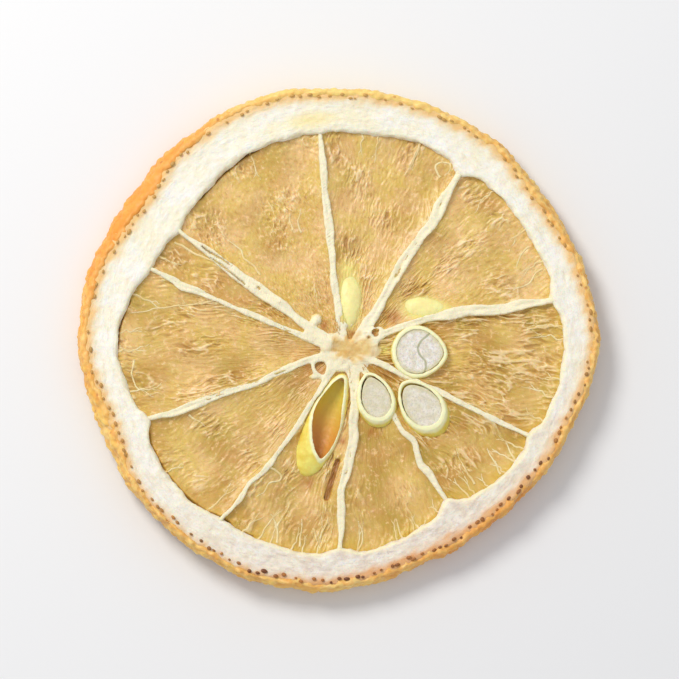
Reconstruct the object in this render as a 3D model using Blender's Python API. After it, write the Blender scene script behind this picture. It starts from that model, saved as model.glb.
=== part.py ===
"""A dried slice of lemon, cut across the fruit: a ring of peel and white pith, ten segments of shrunken
pulp between thin membranes, a pithy core, and the pips that the knife went through.

The slice is one solid. Its two faces are woven from columns that run from the core to the rim and from
rows that cross them, and the pips are then fused on and hollowed. It lies on its underside, +Z up. Its
origin is under the middle of its outline. +Y is the far side, and angles are measured from +X.
"""

import math

import bmesh
import bpy
from mathutils import Matrix, Vector, noise

MM = 0.001  # metres

# The ring of peel and pith, seen from above. A swell is (angle, spread in degrees, amount).
RING_CENTRE = Vector((0.05 * MM, -0.107 * MM))  # brings the middle of the outline's box to the origin
OUTER_RADIUS = 26.5 * MM
OUTER_SWELLS = (
    (0, 14, 0.6 * MM),
    (75, 28, -0.1 * MM),
    (125, 22, 0.2 * MM),
    (178, 18, 0.85 * MM),
    (235, 24, 0.35 * MM),
    (304, 34, -1.75 * MM),
)
RIND_THICKNESS = 0.8 * MM
UPPER_SLOPE = 0.35 * MM  # how far the upper edge of the rind stands in from the widest part
UPPER_SLOPE_SWELLS = ((35, 12, 0.4 * MM), (147, 16, 1.0 * MM), (200, 10, 0.7 * MM))
LOWER_SLOPE = 0.3 * MM
PITH_INNER_RADIUS = 22.4 * MM
PITH_SWELLS = (
    (0, 20, 0.8 * MM),
    (70, 8, 0.4 * MM),
    (78, 22, -0.9 * MM),
    (104, 9, -0.4 * MM),
    (140, 26, -1.8 * MM),
    (153, 4, -0.4 * MM),
    (181, 11, 0.9 * MM),
    (224, 14, 0.5 * MM),
    (301, 20, -1.5 * MM),
)
RIPPLES = ((7, 0.10 * MM, 1.0), (13, 0.07 * MM, 2.6), (22, 0.05 * MM, 0.4))  # (waves, height, phase)

# Heights above the table of the upper face, and of the underside that mirrors it
RIM_TOP, RIM_BOTTOM = 3.5 * MM, 0.0
MEMBRANE_TOP, MEMBRANE_BOTTOM = 2.9 * MM, 0.5 * MM
PULP_TOP, PULP_BOTTOM = 2.35 * MM, 1.05 * MM
PULP_SAG = 0.2 * MM  # how much the middle of a segment has shrunk on each face
PULP_RELIEF = 0.14 * MM  # height of the crumpled juice sacs
SAC_WIDTH, SAC_LENGTH = 1.6 * MM, 6.0 * MM

# The core, an oval of pith off the middle of the slice
CORE_CENTRE = Vector((0.7 * MM, -1.2 * MM))
CORE_LENGTH, CORE_WIDTH = 6.8 * MM, 3.8 * MM
CORE_DIMPLE = 0.25 * MM

# Each membrane: (angle where it meets the pith, angle where it leaves the core, thickness,
# sideways bow, where along its length the bow is greatest, how far the pith runs out along it)
MEMBRANES = (
    (10.8, 19, 1.0 * MM, 1.1 * MM, 0.35, 0.8 * MM),
    (54.4, 44, 1.0 * MM, 0.25 * MM, 0.42, 0.9 * MM),
    (95.9, 108, 0.75 * MM, 0.1 * MM, 0.35, 0.2 * MM),
    (146.3, 153, 0.95 * MM, 0.0 * MM, 0.35, 0.6 * MM),
    (159.8, 165, 0.5 * MM, 0.15 * MM, 0.6, 0.5 * MM),
    (202.6, 193, 0.6 * MM, 0.3 * MM, 0.5, 0.9 * MM),
    (236.5, 229, 0.5 * MM, 0.75 * MM, 0.5, 0.4 * MM),
    (269.4, 282, 0.9 * MM, 0.6 * MM, 0.3, 0.7 * MM),
    (303.4, 316, 0.55 * MM, -0.1 * MM, 0.6, 1.1 * MM),
    (333.1, 339, 0.5 * MM, 0.0 * MM, 0.5, 0.6 * MM),
)
FLARE_SPREAD = 3.6  # how many degrees wide the pith runs out there

# A kink in a membrane: (its angle at the pith, share of its length, spread in shares, amount)
KINKS = (
    (10.8, 0.75, 0.08, -0.35 * MM),
    (54.4, 0.70, 0.08, -0.40 * MM),
    (159.8, 0.80, 0.05, 0.30 * MM),
    (202.6, 0.86, 0.07, 0.20 * MM),
    (236.5, 0.77, 0.06, -0.35 * MM),
    (269.4, 0.70, 0.10, -0.55 * MM),
    (303.4, 0.57, 0.06, 0.45 * MM),
    (303.4, 0.73, 0.05, -0.35 * MM),
)
KINK_REACH = 7  # degrees to each side over which the pulp follows a kink

# The warp of drying: the rim lifts off the table between three feet, which have dried flat
FOOT_ANGLE = 40
LIFT = 0.8 * MM
FOOT_FLATNESS = 0.08 * MM

# How finely the faces are woven
DEGREES_PER_COLUMN = 6.5
PULP_ROWS = (0.07, 0.17, 0.28, 0.4, 0.52, 0.64, 0.75, 0.85, 0.94)  # shares of the way out to the pith
WALL_ROWS = (0.06, 0.25, 0.5, 0.75, 0.94)  # shares of the way down the outer wall
EDGE_ROUND = 0.22 * MM  # how softly the pith's inner edge and the rind's edges are rounded

# Pips: (middle, length, width, direction of the long axis, dip of its far end in degrees)
FULL_PIPS = (
    ((8.25 * MM, -1.35 * MM), 6.0 * MM, 5.6 * MM, 176, 0),
    ((8.65 * MM, -7.2 * MM), 7.4 * MM, 4.7 * MM, 310, 14),
    ((3.7 * MM, -6.35 * MM), 6.1 * MM, 4.1 * MM, 288, 12),
)
EMPTY_PIP = ((-1.7 * MM, -8.95 * MM), 11.5 * MM, 3.9 * MM, 248.5, 6)
BURIED_PIPS = (
    ((1.0 * MM, 3.9 * MM), 6.0 * MM, 2.6 * MM, 90, 3),
    ((9.0 * MM, 3.15 * MM), 5.2 * MM, 2.6 * MM, 176, 0),
)
PIP_HEIGHT, PIP_LEVEL = 3.9 * MM, 2.5 * MM  # of a cut pip before the knife, and of its middle
PIP_CUT = 3.25 * MM  # height of the knife's cut through the pips
BURIED_HEIGHT, BURIED_LEVEL = 1.9 * MM, 2.0 * MM
HULL_WALL = 0.4 * MM
GROOVE_FLOOR = 2.8 * MM  # height of the bottom of the groove between a cut hull and its kernel
KERNEL_TOP = 3.12 * MM
KERNEL_GAP = 0.16 * MM
EMPTY_FLOOR = 0.85 * MM
PIP_SIDES, PIP_RINGS = 22, 10
PIP_POINT = 0.16  # how much narrower a pip is towards the core end


def bump(angle, centre, spread):
    """1 at the centre angle, fading smoothly to 0 over about two spreads, in degrees."""
    off = (angle - centre + 180) % 360 - 180
    return math.exp(-((off / spread) ** 2))


def swollen(base, swells, angle):
    return base + sum(amount * bump(angle, centre, spread) for centre, spread, amount in swells)


def ripple(angle):
    """The fine waves that drying leaves along the rind."""
    turn = math.radians(angle)
    return sum(height * math.sin(waves * turn + phase) for waves, height, phase in RIPPLES)


def outer_radius(angle):
    return swollen(OUTER_RADIUS, OUTER_SWELLS, angle) + ripple(angle)


def lip_radius(angle, upper):
    """The rind's edge on a cut face. The upper face is the one nearer the fruit's end."""
    slope = swollen(UPPER_SLOPE, UPPER_SLOPE_SWELLS, angle) if upper else LOWER_SLOPE
    return outer_radius(angle) - slope


def pith_inner_radius(angle):
    """Where the pith ends and the pulp begins. It comes inwards where a membrane joins it."""
    flare = sum(row[5] * bump(angle, row[0], FLARE_SPREAD) for row in MEMBRANES)
    return swollen(PITH_INNER_RADIUS, PITH_SWELLS, angle) - flare


def direction(angle):
    turn = math.radians(angle)
    return Vector((math.cos(turn), math.sin(turn)))


def core_radius(angle):
    """The radius of the core's oval, seen from its middle."""
    across = direction(angle)
    return 1 / math.hypot(across.x / (CORE_LENGTH / 2), across.y / (CORE_WIDTH / 2))


def lift(place):
    """How far the warp raises a place on the slice: nothing at its three feet, LIFT between them."""
    turn = math.atan2(place.y, place.x) - math.radians(FOOT_ANGLE)
    share = min(1.0, place.length / OUTER_RADIUS) ** 2
    wave = LIFT * share * (1 - math.cos(3 * turn)) / 2
    return max(0.0, wave - FOOT_FLATNESS)


def crumple(place):
    """The juice sacs, long bumps that point at the core, from -1 to 1."""
    out = place - CORE_CENTRE
    turn = math.atan2(out.y, out.x)
    along = out.length / SAC_LENGTH
    across = turn * PITH_INNER_RADIUS / SAC_WIDTH
    seam = 0.5 + 0.5 * math.cos(turn)  # keeps the pattern whole where the angle jumps
    near = noise.noise(Vector((across, along, 0)))
    wrapped = noise.noise(Vector((across + math.tau * PITH_INNER_RADIUS / SAC_WIDTH, along, 0)))
    return near if turn > 0 else near * seam + wrapped * (1 - seam)


class Column:
    """A line of points from the core to the rim. crest is 1 on a membrane and 0 on pulp."""

    def __init__(self, ring_angle, core_angle, bow, bow_place, crest, middle):
        self.ring_angle, self.core_angle = ring_angle, core_angle
        self.bow, self.bow_place = bow, bow_place
        self.crest, self.middle = crest, middle

    def core_place(self, share=1.0):
        return CORE_CENTRE + direction(self.core_angle) * core_radius(self.core_angle) * share

    def ring_place(self, radius):
        return RING_CENTRE + direction(self.ring_angle) * radius

    def pulp_place(self, share):
        """A place on the way from the core's edge, at 0, to the pith, at 1."""
        start = self.core_place()
        chord = self.ring_place(pith_inner_radius(self.ring_angle)) - start
        sideways = Vector((-chord.y, chord.x)).normalized()
        skew = math.log(0.5) / math.log(self.bow_place)
        return start + chord * share + sideways * (self.bow * math.sin(math.pi * share**skew) + self.kink(share))

    def kink(self, share):
        """How far the kinks of the nearest membrane push the column sideways."""
        return sum(
            amount * bump(self.ring_angle, at, KINK_REACH) * math.exp(-(((share - place) / spread) ** 2))
            for at, place, spread, amount in KINKS
        )


def segment_columns(first, second, turn):
    """The columns from one membrane's middle to just before the next one's foot."""
    width = (second[0] + turn) - first[0]
    inside = max(1, round(width / DEGREES_PER_COLUMN) - 1)

    def between(share, crest):
        ring = first[0] + width * share
        core = first[1] + (second[1] + turn - first[1]) * share
        bow = first[3] * (1 - share) + second[3] * share
        bow_place = first[4] * (1 - share) + second[4] * share
        middle = 1 - abs(2 * share - 1)
        return Column(ring, core, bow, bow_place, crest, middle)

    def as_share(half_thickness):
        return math.degrees(half_thickness / PITH_INNER_RADIUS) / width

    near_foot, far_foot = as_share(0.75 * first[2]), 1 - as_share(0.75 * second[2])
    yield between(as_share(0.28 * first[2]), 1.0)
    yield between(near_foot, 0.0)
    for step in range(inside):
        yield between(near_foot + (far_foot - near_foot) * (step + 1) / (inside + 1), 0.0)
    yield between(far_foot, 0.0)
    yield between(1 - as_share(0.28 * second[2]), 1.0)


def all_columns():
    columns = []
    for index, first in enumerate(MEMBRANES):
        last = index + 1 == len(MEMBRANES)
        second = MEMBRANES[0 if last else index + 1]
        columns += segment_columns(first, second, 360 if last else 0)
    return columns


def face_heights(upper):
    """(rim, membrane, pulp, way out of the slice) of the upper face or of the underside."""
    if upper:
        return RIM_TOP, MEMBRANE_TOP, PULP_TOP, 1
    return RIM_BOTTOM, MEMBRANE_BOTTOM, PULP_BOTTOM, -1


def pulp_height(column, share, place, upper):
    _, membrane, pulp, out = face_heights(upper)
    if column.crest:
        return membrane
    bowl = math.sin(math.pi * share) * column.middle
    return pulp - out * PULP_SAG * bowl + PULP_RELIEF * crumple(place) * (0.3 + 0.7 * bowl)


def face_rows(columns, upper):
    """The rows of one face from the core outwards. Each is a list of (place, height)."""
    rim, membrane, _, out = face_heights(upper)
    rows = [
        [(column.core_place(0.5), membrane - out * CORE_DIMPLE) for column in columns],
        [(column.core_place(0.93), membrane) for column in columns],
    ]
    for share in (*PULP_ROWS, 1.0):
        places = [column.pulp_place(share) for column in columns]
        rows.append([(p, pulp_height(c, share, p, upper)) for c, p in zip(columns, places)])

    def ring_row(radius_of, height):
        return [(c.ring_place(radius_of(c.ring_angle)), height) for c in columns]

    def lip(angle):
        return lip_radius(angle, upper)

    rows.append(ring_row(lambda a: pith_inner_radius(a) + EDGE_ROUND / 2, rim - out * EDGE_ROUND))
    rows.append(ring_row(lambda a: pith_inner_radius(a) + 2 * EDGE_ROUND, rim))
    rows.append(ring_row(lambda a: (pith_inner_radius(a) + lip(a)) / 2, rim))
    rows.append(ring_row(lambda a: lip(a) - RIND_THICKNESS, rim))
    rows.append(ring_row(lambda a: lip(a) - EDGE_ROUND, rim))
    return rows


def wall_radius(angle, share):
    """The outer wall at a share of the way down. It is widest a little below its middle."""
    outer = outer_radius(angle)
    upper_slope = outer - lip_radius(angle, upper=True)
    lower_slope = outer - lip_radius(angle, upper=False)
    return outer - upper_slope * (1 - share) ** 2.5 - lower_slope * share**4


def wall_rows(columns):
    rows = []
    for share in WALL_ROWS:
        height = RIM_TOP + (RIM_BOTTOM - RIM_TOP) * share
        rows.append([(c.ring_place(wall_radius(c.ring_angle, share)), height) for c in columns])
    return rows


def weave_slice():
    """The whole slice but its pips, as one closed mesh."""
    columns = all_columns()
    upper, lower = face_rows(columns, True), face_rows(columns, False)
    rows = upper + wall_rows(columns) + lower[::-1]
    mesh = bmesh.new()

    def vertex(place, height):
        return mesh.verts.new((place.x, place.y, height + lift(place)))

    woven = [[vertex(place, height) for place, height in row] for row in rows]
    count = len(columns)
    for inner, outer in zip(woven, woven[1:]):
        for here in range(count):
            there = (here + 1) % count
            mesh.faces.new((inner[here], outer[here], outer[there], inner[there]))
    top = vertex(CORE_CENTRE, MEMBRANE_TOP - CORE_DIMPLE / 2)
    bottom = vertex(CORE_CENTRE, MEMBRANE_BOTTOM + CORE_DIMPLE / 2)
    for here in range(count):
        there = (here + 1) % count
        mesh.faces.new((top, woven[0][here], woven[0][there]))
        mesh.faces.new((bottom, woven[-1][there], woven[-1][here]))
    return mesh


def pip_body(row, height, level, shrink=0.0):
    """A pip as an egg that lies along its direction, its far end dipped, narrower towards the core."""
    middle, length, width, heading, dip = row
    mesh = bmesh.new()
    bmesh.ops.create_uvsphere(mesh, u_segments=PIP_SIDES, v_segments=PIP_RINGS, radius=1)
    half = Vector((length / 2 - shrink, width / 2 - shrink, height / 2))
    for vertex in mesh.verts:
        narrow = 1 + PIP_POINT * vertex.co.x
        vertex.co = Vector((vertex.co.x * half.x, vertex.co.y * half.y * narrow, vertex.co.z * half.z))
    spot = Vector(middle)
    stand = Matrix.Translation((spot.x, spot.y, level + lift(spot)))
    turn = Matrix.Rotation(math.radians(heading), 4, "Z") @ Matrix.Rotation(math.radians(dip), 4, "Y")
    bmesh.ops.transform(mesh, matrix=stand @ turn, verts=mesh.verts)
    return mesh


def slice_off(mesh, height, keep_below):
    """Cuts the mesh level at a height and closes the cut."""
    bmesh.ops.bisect_plane(
        mesh,
        geom=[*mesh.verts, *mesh.edges, *mesh.faces],
        plane_co=(0, 0, height),
        plane_no=(0, 0, 1),
        clear_outer=keep_below,
        clear_inner=not keep_below,
    )
    bmesh.ops.holes_fill(mesh, edges=[edge for edge in mesh.edges if edge.is_boundary], sides=0)
    bmesh.ops.recalc_face_normals(mesh, faces=mesh.faces)


def cut_pip(row, shrink=0.0, top=PIP_CUT, floor=0.0):
    """A pip, or the space inside it, between a cut at the top and a floor."""
    mesh = pip_body(row, PIP_HEIGHT, PIP_LEVEL, shrink)
    rise = lift(Vector(row[0]))
    slice_off(mesh, top + rise, keep_below=True)
    slice_off(mesh, floor + rise, keep_below=False)
    return mesh


def as_object(name, mesh, collection):
    data = bpy.data.meshes.new(name)
    mesh.to_mesh(data)
    mesh.free()
    made = bpy.data.objects.new(name, data)
    collection.objects.link(made)
    return made


def combine(target, operation, meshes):
    """Joins meshes to the target, or cuts them from it, in one Boolean on a collection."""
    helpers = bpy.data.collections.new(operation.lower())
    bpy.context.scene.collection.children.link(helpers)
    for index, mesh in enumerate(meshes):
        as_object(f"{helpers.name}_{index}", mesh, helpers)
    boolean = target.modifiers.new(operation.lower(), "BOOLEAN")
    boolean.operation = operation
    boolean.operand_type = "COLLECTION"
    boolean.collection = helpers
    boolean.solver = "EXACT"
    bpy.context.view_layer.objects.active = target
    bpy.ops.object.modifier_apply(modifier=boolean.name)
    for helper in list(helpers.objects):
        bpy.data.objects.remove(helper)
    bpy.data.collections.remove(helpers)


def add_pips(slice_body):
    """Fuses the pips on, hollows the cut ones, and stands the kernels in three of them."""
    hulls = [cut_pip(row) for row in (*FULL_PIPS, EMPTY_PIP)]
    buried = [pip_body(row, BURIED_HEIGHT, BURIED_LEVEL) for row in BURIED_PIPS]
    combine(slice_body, "UNION", hulls + buried)
    above = RIM_TOP + MM
    pockets = [cut_pip(row, HULL_WALL, above, GROOVE_FLOOR) for row in FULL_PIPS]
    pockets.append(cut_pip(EMPTY_PIP, HULL_WALL, above, EMPTY_FLOOR))
    combine(slice_body, "DIFFERENCE", pockets)
    root = GROOVE_FLOOR - HULL_WALL
    kernels = [cut_pip(row, HULL_WALL + KERNEL_GAP, KERNEL_TOP, root) for row in FULL_PIPS]
    combine(slice_body, "UNION", kernels)


def dried_flesh():
    """The finish of the whole slice: pale pith, which is most of what shows."""
    material = bpy.data.materials.new("dried_lemon")
    material.use_nodes = True
    shader = material.node_tree.nodes["Principled BSDF"]
    shader.inputs["Base Color"].default_value = (0.79, 0.58, 0.27, 1)
    shader.inputs["Roughness"].default_value = 0.6
    shader.inputs["Metallic"].default_value = 0.0
    return material


def build():
    for leftover in list(bpy.data.objects):
        bpy.data.objects.remove(leftover)
    slice_body = as_object("lemon_slice", weave_slice(), bpy.context.scene.collection)
    add_pips(slice_body)
    slice_body.data.materials.clear()
    slice_body.data.materials.append(dried_flesh())
    slice_body.data.shade_smooth()
    slice_body.data.set_sharp_from_angle(angle=math.radians(35))


build()
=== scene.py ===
# %% [markdown]
# # A dried slice of lemon
#
# A lemon slice is a wheel: an orange rind, a white rim of pith, thin pith walls that run like spokes
# to a pale core, and between the spokes the pulp, which is hundreds of juice sacs. In the drier the
# pulp loses nearly all its water. It shrinks to a wrinkled golden film, and the white parts stay
# standing over it. This lesson models each of these as its own piece.
#
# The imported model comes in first. It is the frame: the real slice's size and place, in metres.

# %% Load the frame
import math
from collections import namedtuple

import bpy
import numpy as np
from mathutils import Matrix, Vector
from mathutils.bvhtree import BVHTree


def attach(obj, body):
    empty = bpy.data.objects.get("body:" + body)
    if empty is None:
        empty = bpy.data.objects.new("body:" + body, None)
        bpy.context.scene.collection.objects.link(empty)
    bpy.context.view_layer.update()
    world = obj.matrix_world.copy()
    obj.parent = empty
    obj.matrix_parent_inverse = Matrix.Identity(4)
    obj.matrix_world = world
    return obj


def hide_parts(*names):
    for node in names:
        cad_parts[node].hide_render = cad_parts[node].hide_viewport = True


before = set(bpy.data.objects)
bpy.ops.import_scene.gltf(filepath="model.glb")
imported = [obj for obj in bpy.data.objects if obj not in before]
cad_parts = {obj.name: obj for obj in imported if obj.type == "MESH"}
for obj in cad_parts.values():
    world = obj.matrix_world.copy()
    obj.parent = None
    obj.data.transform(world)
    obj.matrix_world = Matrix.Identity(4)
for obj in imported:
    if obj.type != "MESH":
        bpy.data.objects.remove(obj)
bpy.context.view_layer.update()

NODE = "lemon_slice"
BODY = "root"
MM = 0.001

# %% [markdown]
# ## The plan of the slice
#
# Every piece has to meet its neighbours, so they all read one plan: how far out the rind, the pith and
# the pulp reach at each angle, and where each membrane runs. A lemon is nearly round, so each radius is
# one number and a few swells, each a place and a spread in degrees and an amount in millimetres. That is
# easier to read, and to change, than a long list of points.

# %% Radii of the rind and the pith
RING_CENTRE = np.array((0.05, -0.107)) * MM
OUTER_RADIUS = 26.5 * MM
OUTER_SWELLS = (
    (0, 14, 0.6), (75, 28, -0.1), (125, 22, 0.2), (178, 18, 0.85), (235, 24, 0.35), (304, 34, -1.75),
)
RIPPLES = ((7, 0.10, 1.0), (13, 0.07, 2.6), (22, 0.05, 0.4))  # (how many, height in mm, phase)
UPPER_SLOPE, LOWER_SLOPE = 0.35 * MM, 0.3 * MM
UPPER_SLOPE_SWELLS = ((35, 12, 0.4), (147, 16, 1.0), (200, 10, 0.7))
RIND_THICKNESS = 0.8 * MM
PITH_INNER_RADIUS = 22.4 * MM
PITH_SWELLS = (
    (0, 20, 0.8), (70, 8, 0.4), (78, 22, -0.9), (104, 9, -0.4), (140, 26, -1.8),
    (153, 4, -0.4), (181, 11, 0.9), (224, 14, 0.5), (301, 20, -1.5),
)


def bump(value, centre, spread):
    """1 at the centre, fading to 0 over about two spreads. Degrees may go round past 360."""
    off = (value - centre + 180) % 360 - 180
    return np.exp(-((off / spread) ** 2))


def swollen(base, swells, angle):
    return base + sum(amount * MM * bump(angle, centre, spread) for centre, spread, amount in swells)


def outer_radius(angle):
    turn = np.radians(angle)
    ripples = sum(height * MM * np.sin(count * turn + phase) for count, height, phase in RIPPLES)
    return swollen(OUTER_RADIUS, OUTER_SWELLS, angle) + ripples


def wall_radius(angle, down):
    """The rind's outer face at a share of the way down. The upper edge stands in the most."""
    upper = swollen(UPPER_SLOPE, UPPER_SLOPE_SWELLS, angle)
    return outer_radius(angle) - upper * (1 - down) ** 2.5 - LOWER_SLOPE * down**4


# %% [markdown]
# The membranes leave the core at one angle and meet the pith at another, and each bows a little to one
# side. They are the walls between the segments, so the pulp is laid out from the same rows. Each row has
# three widths, at the pith, half way in and at the core, and ends with the flare: how far the pith runs
# out along that membrane. A few membranes also have kinks.

# %% Membranes, core and heights
CORE_CENTRE = np.array((0.7, -1.2)) * MM
CORE_LENGTH, CORE_WIDTH, CORE_DIMPLE = 6.8 * MM, 3.8 * MM, 0.25 * MM
TAN_MIDDLE, TAN_REACH = np.array((1.2, -1.0)) * MM, np.array((3.1, 1.7)) * MM  # the core's tan heart
Membrane = namedtuple("Membrane", "at_pith at_core bow bow_place widths flare")
MEMBRANES = [
    Membrane(at_pith, at_core, bow * MM, bow_place, [width * MM for width in widths], flare * MM)
    for at_pith, at_core, bow, bow_place, widths, flare in (
        (10.8, 19, 1.1, 0.35, (1.1, 1.05, 0.4), 0.8),
        (54.4, 44, 0.25, 0.42, (1.05, 1.1, 0.9), 0.9),
        (95.9, 108, 0.1, 0.35, (0.8, 0.75, 0.65), 0.2),
        (146.3, 153, 0.0, 0.35, (0.7, 1.25, 0.8), 0.6),
        (159.8, 165, 0.15, 0.6, (0.8, 0.42, 0.45), 0.5),
        (202.6, 193, 0.3, 0.5, (0.95, 0.55, 0.45), 0.9),
        (236.5, 229, 0.75, 0.5, (0.5, 0.45, 0.5), 0.4),
        (269.4, 282, 0.6, 0.3, (0.8, 1.0, 1.0), 0.7),
        (303.4, 316, -0.1, 0.6, (0.85, 0.5, 0.4), 1.1),
        (333.1, 339, 0.0, 0.5, (0.6, 0.42, 0.4), 0.6),
    )
]
KINKS = (  # (the membrane's angle at the pith, share of its length, spread in shares, amount in mm)
    (10.8, 0.75, 0.08, -0.35), (54.4, 0.70, 0.08, -0.40), (159.8, 0.80, 0.05, 0.30),
    (202.6, 0.86, 0.07, 0.20), (236.5, 0.77, 0.06, -0.35), (269.4, 0.70, 0.10, -0.55),
    (303.4, 0.57, 0.06, 0.45), (303.4, 0.73, 0.05, -0.35),
)
KINK_REACH = 7  # degrees to each side over which the pulp follows a kink
FLARE_SPREAD = 3.6  # degrees
RIM_TOP = 3.5 * MM
MEMBRANE_TOP, MEMBRANE_BOTTOM = 2.9 * MM, 0.5 * MM
PULP_TOP, PULP_BOTTOM = 2.35 * MM, 1.05 * MM
FOOT_ANGLE, LIFT, FOOT_FLATNESS = 40, 0.8 * MM, 0.08 * MM


def direction(angle):
    turn = np.radians(angle)
    return np.stack((np.cos(turn), np.sin(turn)), axis=-1)


def sideways(ahead):
    """Unit steps to the left of steps ahead."""
    side = np.stack((-ahead[..., 1], ahead[..., 0]), axis=-1)
    return side / np.linalg.norm(side, axis=-1, keepdims=True)


def pith_inner_radius(angle):
    flare = sum(row.flare * bump(angle, row.at_pith, FLARE_SPREAD) for row in MEMBRANES)
    return swollen(PITH_INNER_RADIUS, PITH_SWELLS, angle) - flare


def course(ring_angle, core_angle, bow, bow_place, share):
    """Places on the way from the core's edge, at share 0, to the pith, at share 1."""
    out = direction(core_angle)
    reach = 1 / np.hypot(out[..., 0] / (CORE_LENGTH / 2), out[..., 1] / (CORE_WIDTH / 2))
    start = CORE_CENTRE + out * reach[..., None]
    end = RING_CENTRE + direction(ring_angle) * pith_inner_radius(ring_angle)[..., None]
    chord = end - start
    skew = np.log(0.5) / np.log(bow_place)
    bend = bow * np.sin(np.pi * np.clip(share, 0, 1) ** skew)
    for at, place, spread, amount in KINKS:
        near = bump(ring_angle, at, KINK_REACH)
        bend = bend + amount * MM * near * np.exp(-(((share - place) / spread) ** 2))
    return start + chord * share[..., None] + sideways(chord) * bend[..., None]


def middle_line(row, share):
    """Places along the middle of one membrane."""
    ring_angle, core_angle = np.full_like(share, row.at_pith), np.full_like(share, row.at_core)
    return course(ring_angle, core_angle, row.bow, row.bow_place, share)


def membranes_beside(index):
    """The two membranes on either side of a segment. The angles of the last one go on past 360."""
    first, second = MEMBRANES[index], MEMBRANES[(index + 1) % len(MEMBRANES)]
    turn = 360 if index + 1 == len(MEMBRANES) else 0
    return first, second._replace(at_pith=second.at_pith + turn, at_core=second.at_core + turn)


def segment_plan(index, u, v):
    """Places in a segment, in plan: u goes from one membrane to the next, v from core to pith."""
    first, second = membranes_beside(index)
    return course(*(a + (b - a) * u for a, b in zip(first[:4], second[:4])), v)


def lift(x, y):
    """The warp of drying, which raises the rim between its three feet."""
    turn = np.arctan2(y, x) - math.radians(FOOT_ANGLE)
    share = np.minimum(1, np.hypot(x, y) / OUTER_RADIUS) ** 2
    return np.maximum(0, LIFT * share * (1 - np.cos(3 * turn)) / 2 - FOOT_FLATNESS)


def level_of(places):
    """Heights as they would be without the warp."""
    return places[:, 2] - lift(places[:, 0], places[:, 1])


def ring_angle_and_radius(places):
    flat = places[:, :2] - RING_CENTRE
    return np.degrees(np.arctan2(flat[:, 1], flat[:, 0])) % 360, np.hypot(flat[:, 0], flat[:, 1])


def core_angle_of(places):
    flat = places[:, :2] - CORE_CENTRE
    return np.degrees(np.arctan2(flat[:, 1], flat[:, 0]))


def core_reach(places):
    """How far out of the core's middle places lie in plan: 1 is its outline."""
    return np.hypot(*((places[:, :2] - CORE_CENTRE) / (CORE_LENGTH / 2, CORE_WIDTH / 2)).T)


def smooth_step(value, low, high):
    share = np.clip((value - low) / (high - low), 0, 1)
    return share * share * (3 - 2 * share)


# %% [markdown]
# ## Helpers
#
# An operator acts on whatever is selected, and the frame comes in selected. So each step first picks
# its one piece. Two more helpers read and write the places of all of a piece's points at once, which is
# how waves and swells get into a mesh quickly. `waves` adds up a few sine waves with seeded
# directions: a smooth unevenness that comes out the same every time.

# %% Selecting, applying and shaping
FIBRE_WIDTH, FIBRE_LENGTH = 0.35 * MM, 1.3 * MM  # of the fibres in the pith


def pick(piece):
    if bpy.context.mode != "OBJECT":
        bpy.ops.object.mode_set(mode="OBJECT")
    bpy.ops.object.select_all(action="DESELECT")
    piece.select_set(True)
    bpy.context.view_layer.objects.active = piece


def new_piece(name):
    """Names the primitive that an operator has just added, and puts its place into its mesh."""
    piece = bpy.context.object
    piece.name = piece.data.name = name
    pick(piece)
    bpy.ops.object.transform_apply(location=True, rotation=True, scale=True)
    return piece


def edit(piece, selection="SELECT"):
    """Edit mode with all selected, with nothing selected, or, without a selection, with what was."""
    pick(piece)
    bpy.ops.object.mode_set(mode="EDIT")
    if selection:
        bpy.ops.mesh.select_all(action=selection)


def leave_edit():
    bpy.ops.object.mode_set(mode="OBJECT")


def extrude_closed(piece, height):
    """Makes a closed body of a flat piece."""
    edit(piece)
    bpy.ops.mesh.extrude_region_move(TRANSFORM_OT_translate={"value": (0, 0, height)})
    bpy.ops.mesh.select_all(action="SELECT")
    bpy.ops.mesh.normals_make_consistent(inside=False)
    leave_edit()


def apply_all(piece):
    pick(piece)
    for modifier in list(piece.modifiers):
        bpy.ops.object.modifier_apply(modifier=modifier.name)


def join(pieces):
    pick(pieces[0])
    for piece in pieces[1:]:
        piece.select_set(True)
    bpy.ops.object.join()
    return bpy.context.object


def finish_piece(piece, material):
    pick(piece)
    bpy.ops.object.shade_smooth()
    piece.data.materials.append(material)


def read_places(piece):
    flat = np.empty(len(piece.data.vertices) * 3)
    piece.data.vertices.foreach_get("co", flat)
    return flat.reshape(-1, 3)


def write_places(piece, places):
    piece.data.vertices.foreach_set("co", places.ravel())
    piece.data.update()


def write_masks(piece, **masks):
    """Stores one number for each point under each name, which a material can read by this name."""
    for name, values in masks.items():
        layer = piece.data.attributes.new(name, "FLOAT", "POINT")
        values = np.broadcast_to(np.clip(values, 0, 1), len(layer.data))
        layer.data.foreach_set("value", values.astype(np.float32))


def write_fibre_places(piece, across, along, third):
    """Stores where each point lies in a pattern of fibres, in fibre widths across and lengths along."""
    layer = piece.data.attributes.new("fibre_places", "FLOAT_VECTOR", "POINT")
    places = np.column_stack((across / FIBRE_WIDTH, along / FIBRE_LENGTH, third / FIBRE_LENGTH))
    layer.data.foreach_set("vector", places.astype(np.float32).ravel())


def waves(x, y, size, seed):
    """Smooth unevenness between about -1 and 1, in hills about this size."""
    dice = np.random.default_rng(seed)
    total = 0
    for _ in range(9):
        turn, phase = dice.uniform(0, math.tau, 2)
        length = size * dice.uniform(0.7, 1.8)
        along = x * math.cos(turn) + y * math.sin(turn)
        total = total + np.sin(along * math.tau / length + phase)
    return total / 4


def waves_over(places, size, seed):
    """Unevenness over places in plan, in hills about this many millimetres wide."""
    return waves(places[:, 0], places[:, 1], size * MM, seed)


def wobble(places, size, seed):
    """One such unevenness for X and one for Y."""
    return np.column_stack([waves_over(places, size, seed + axis) for axis in (0, 1)])


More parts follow.
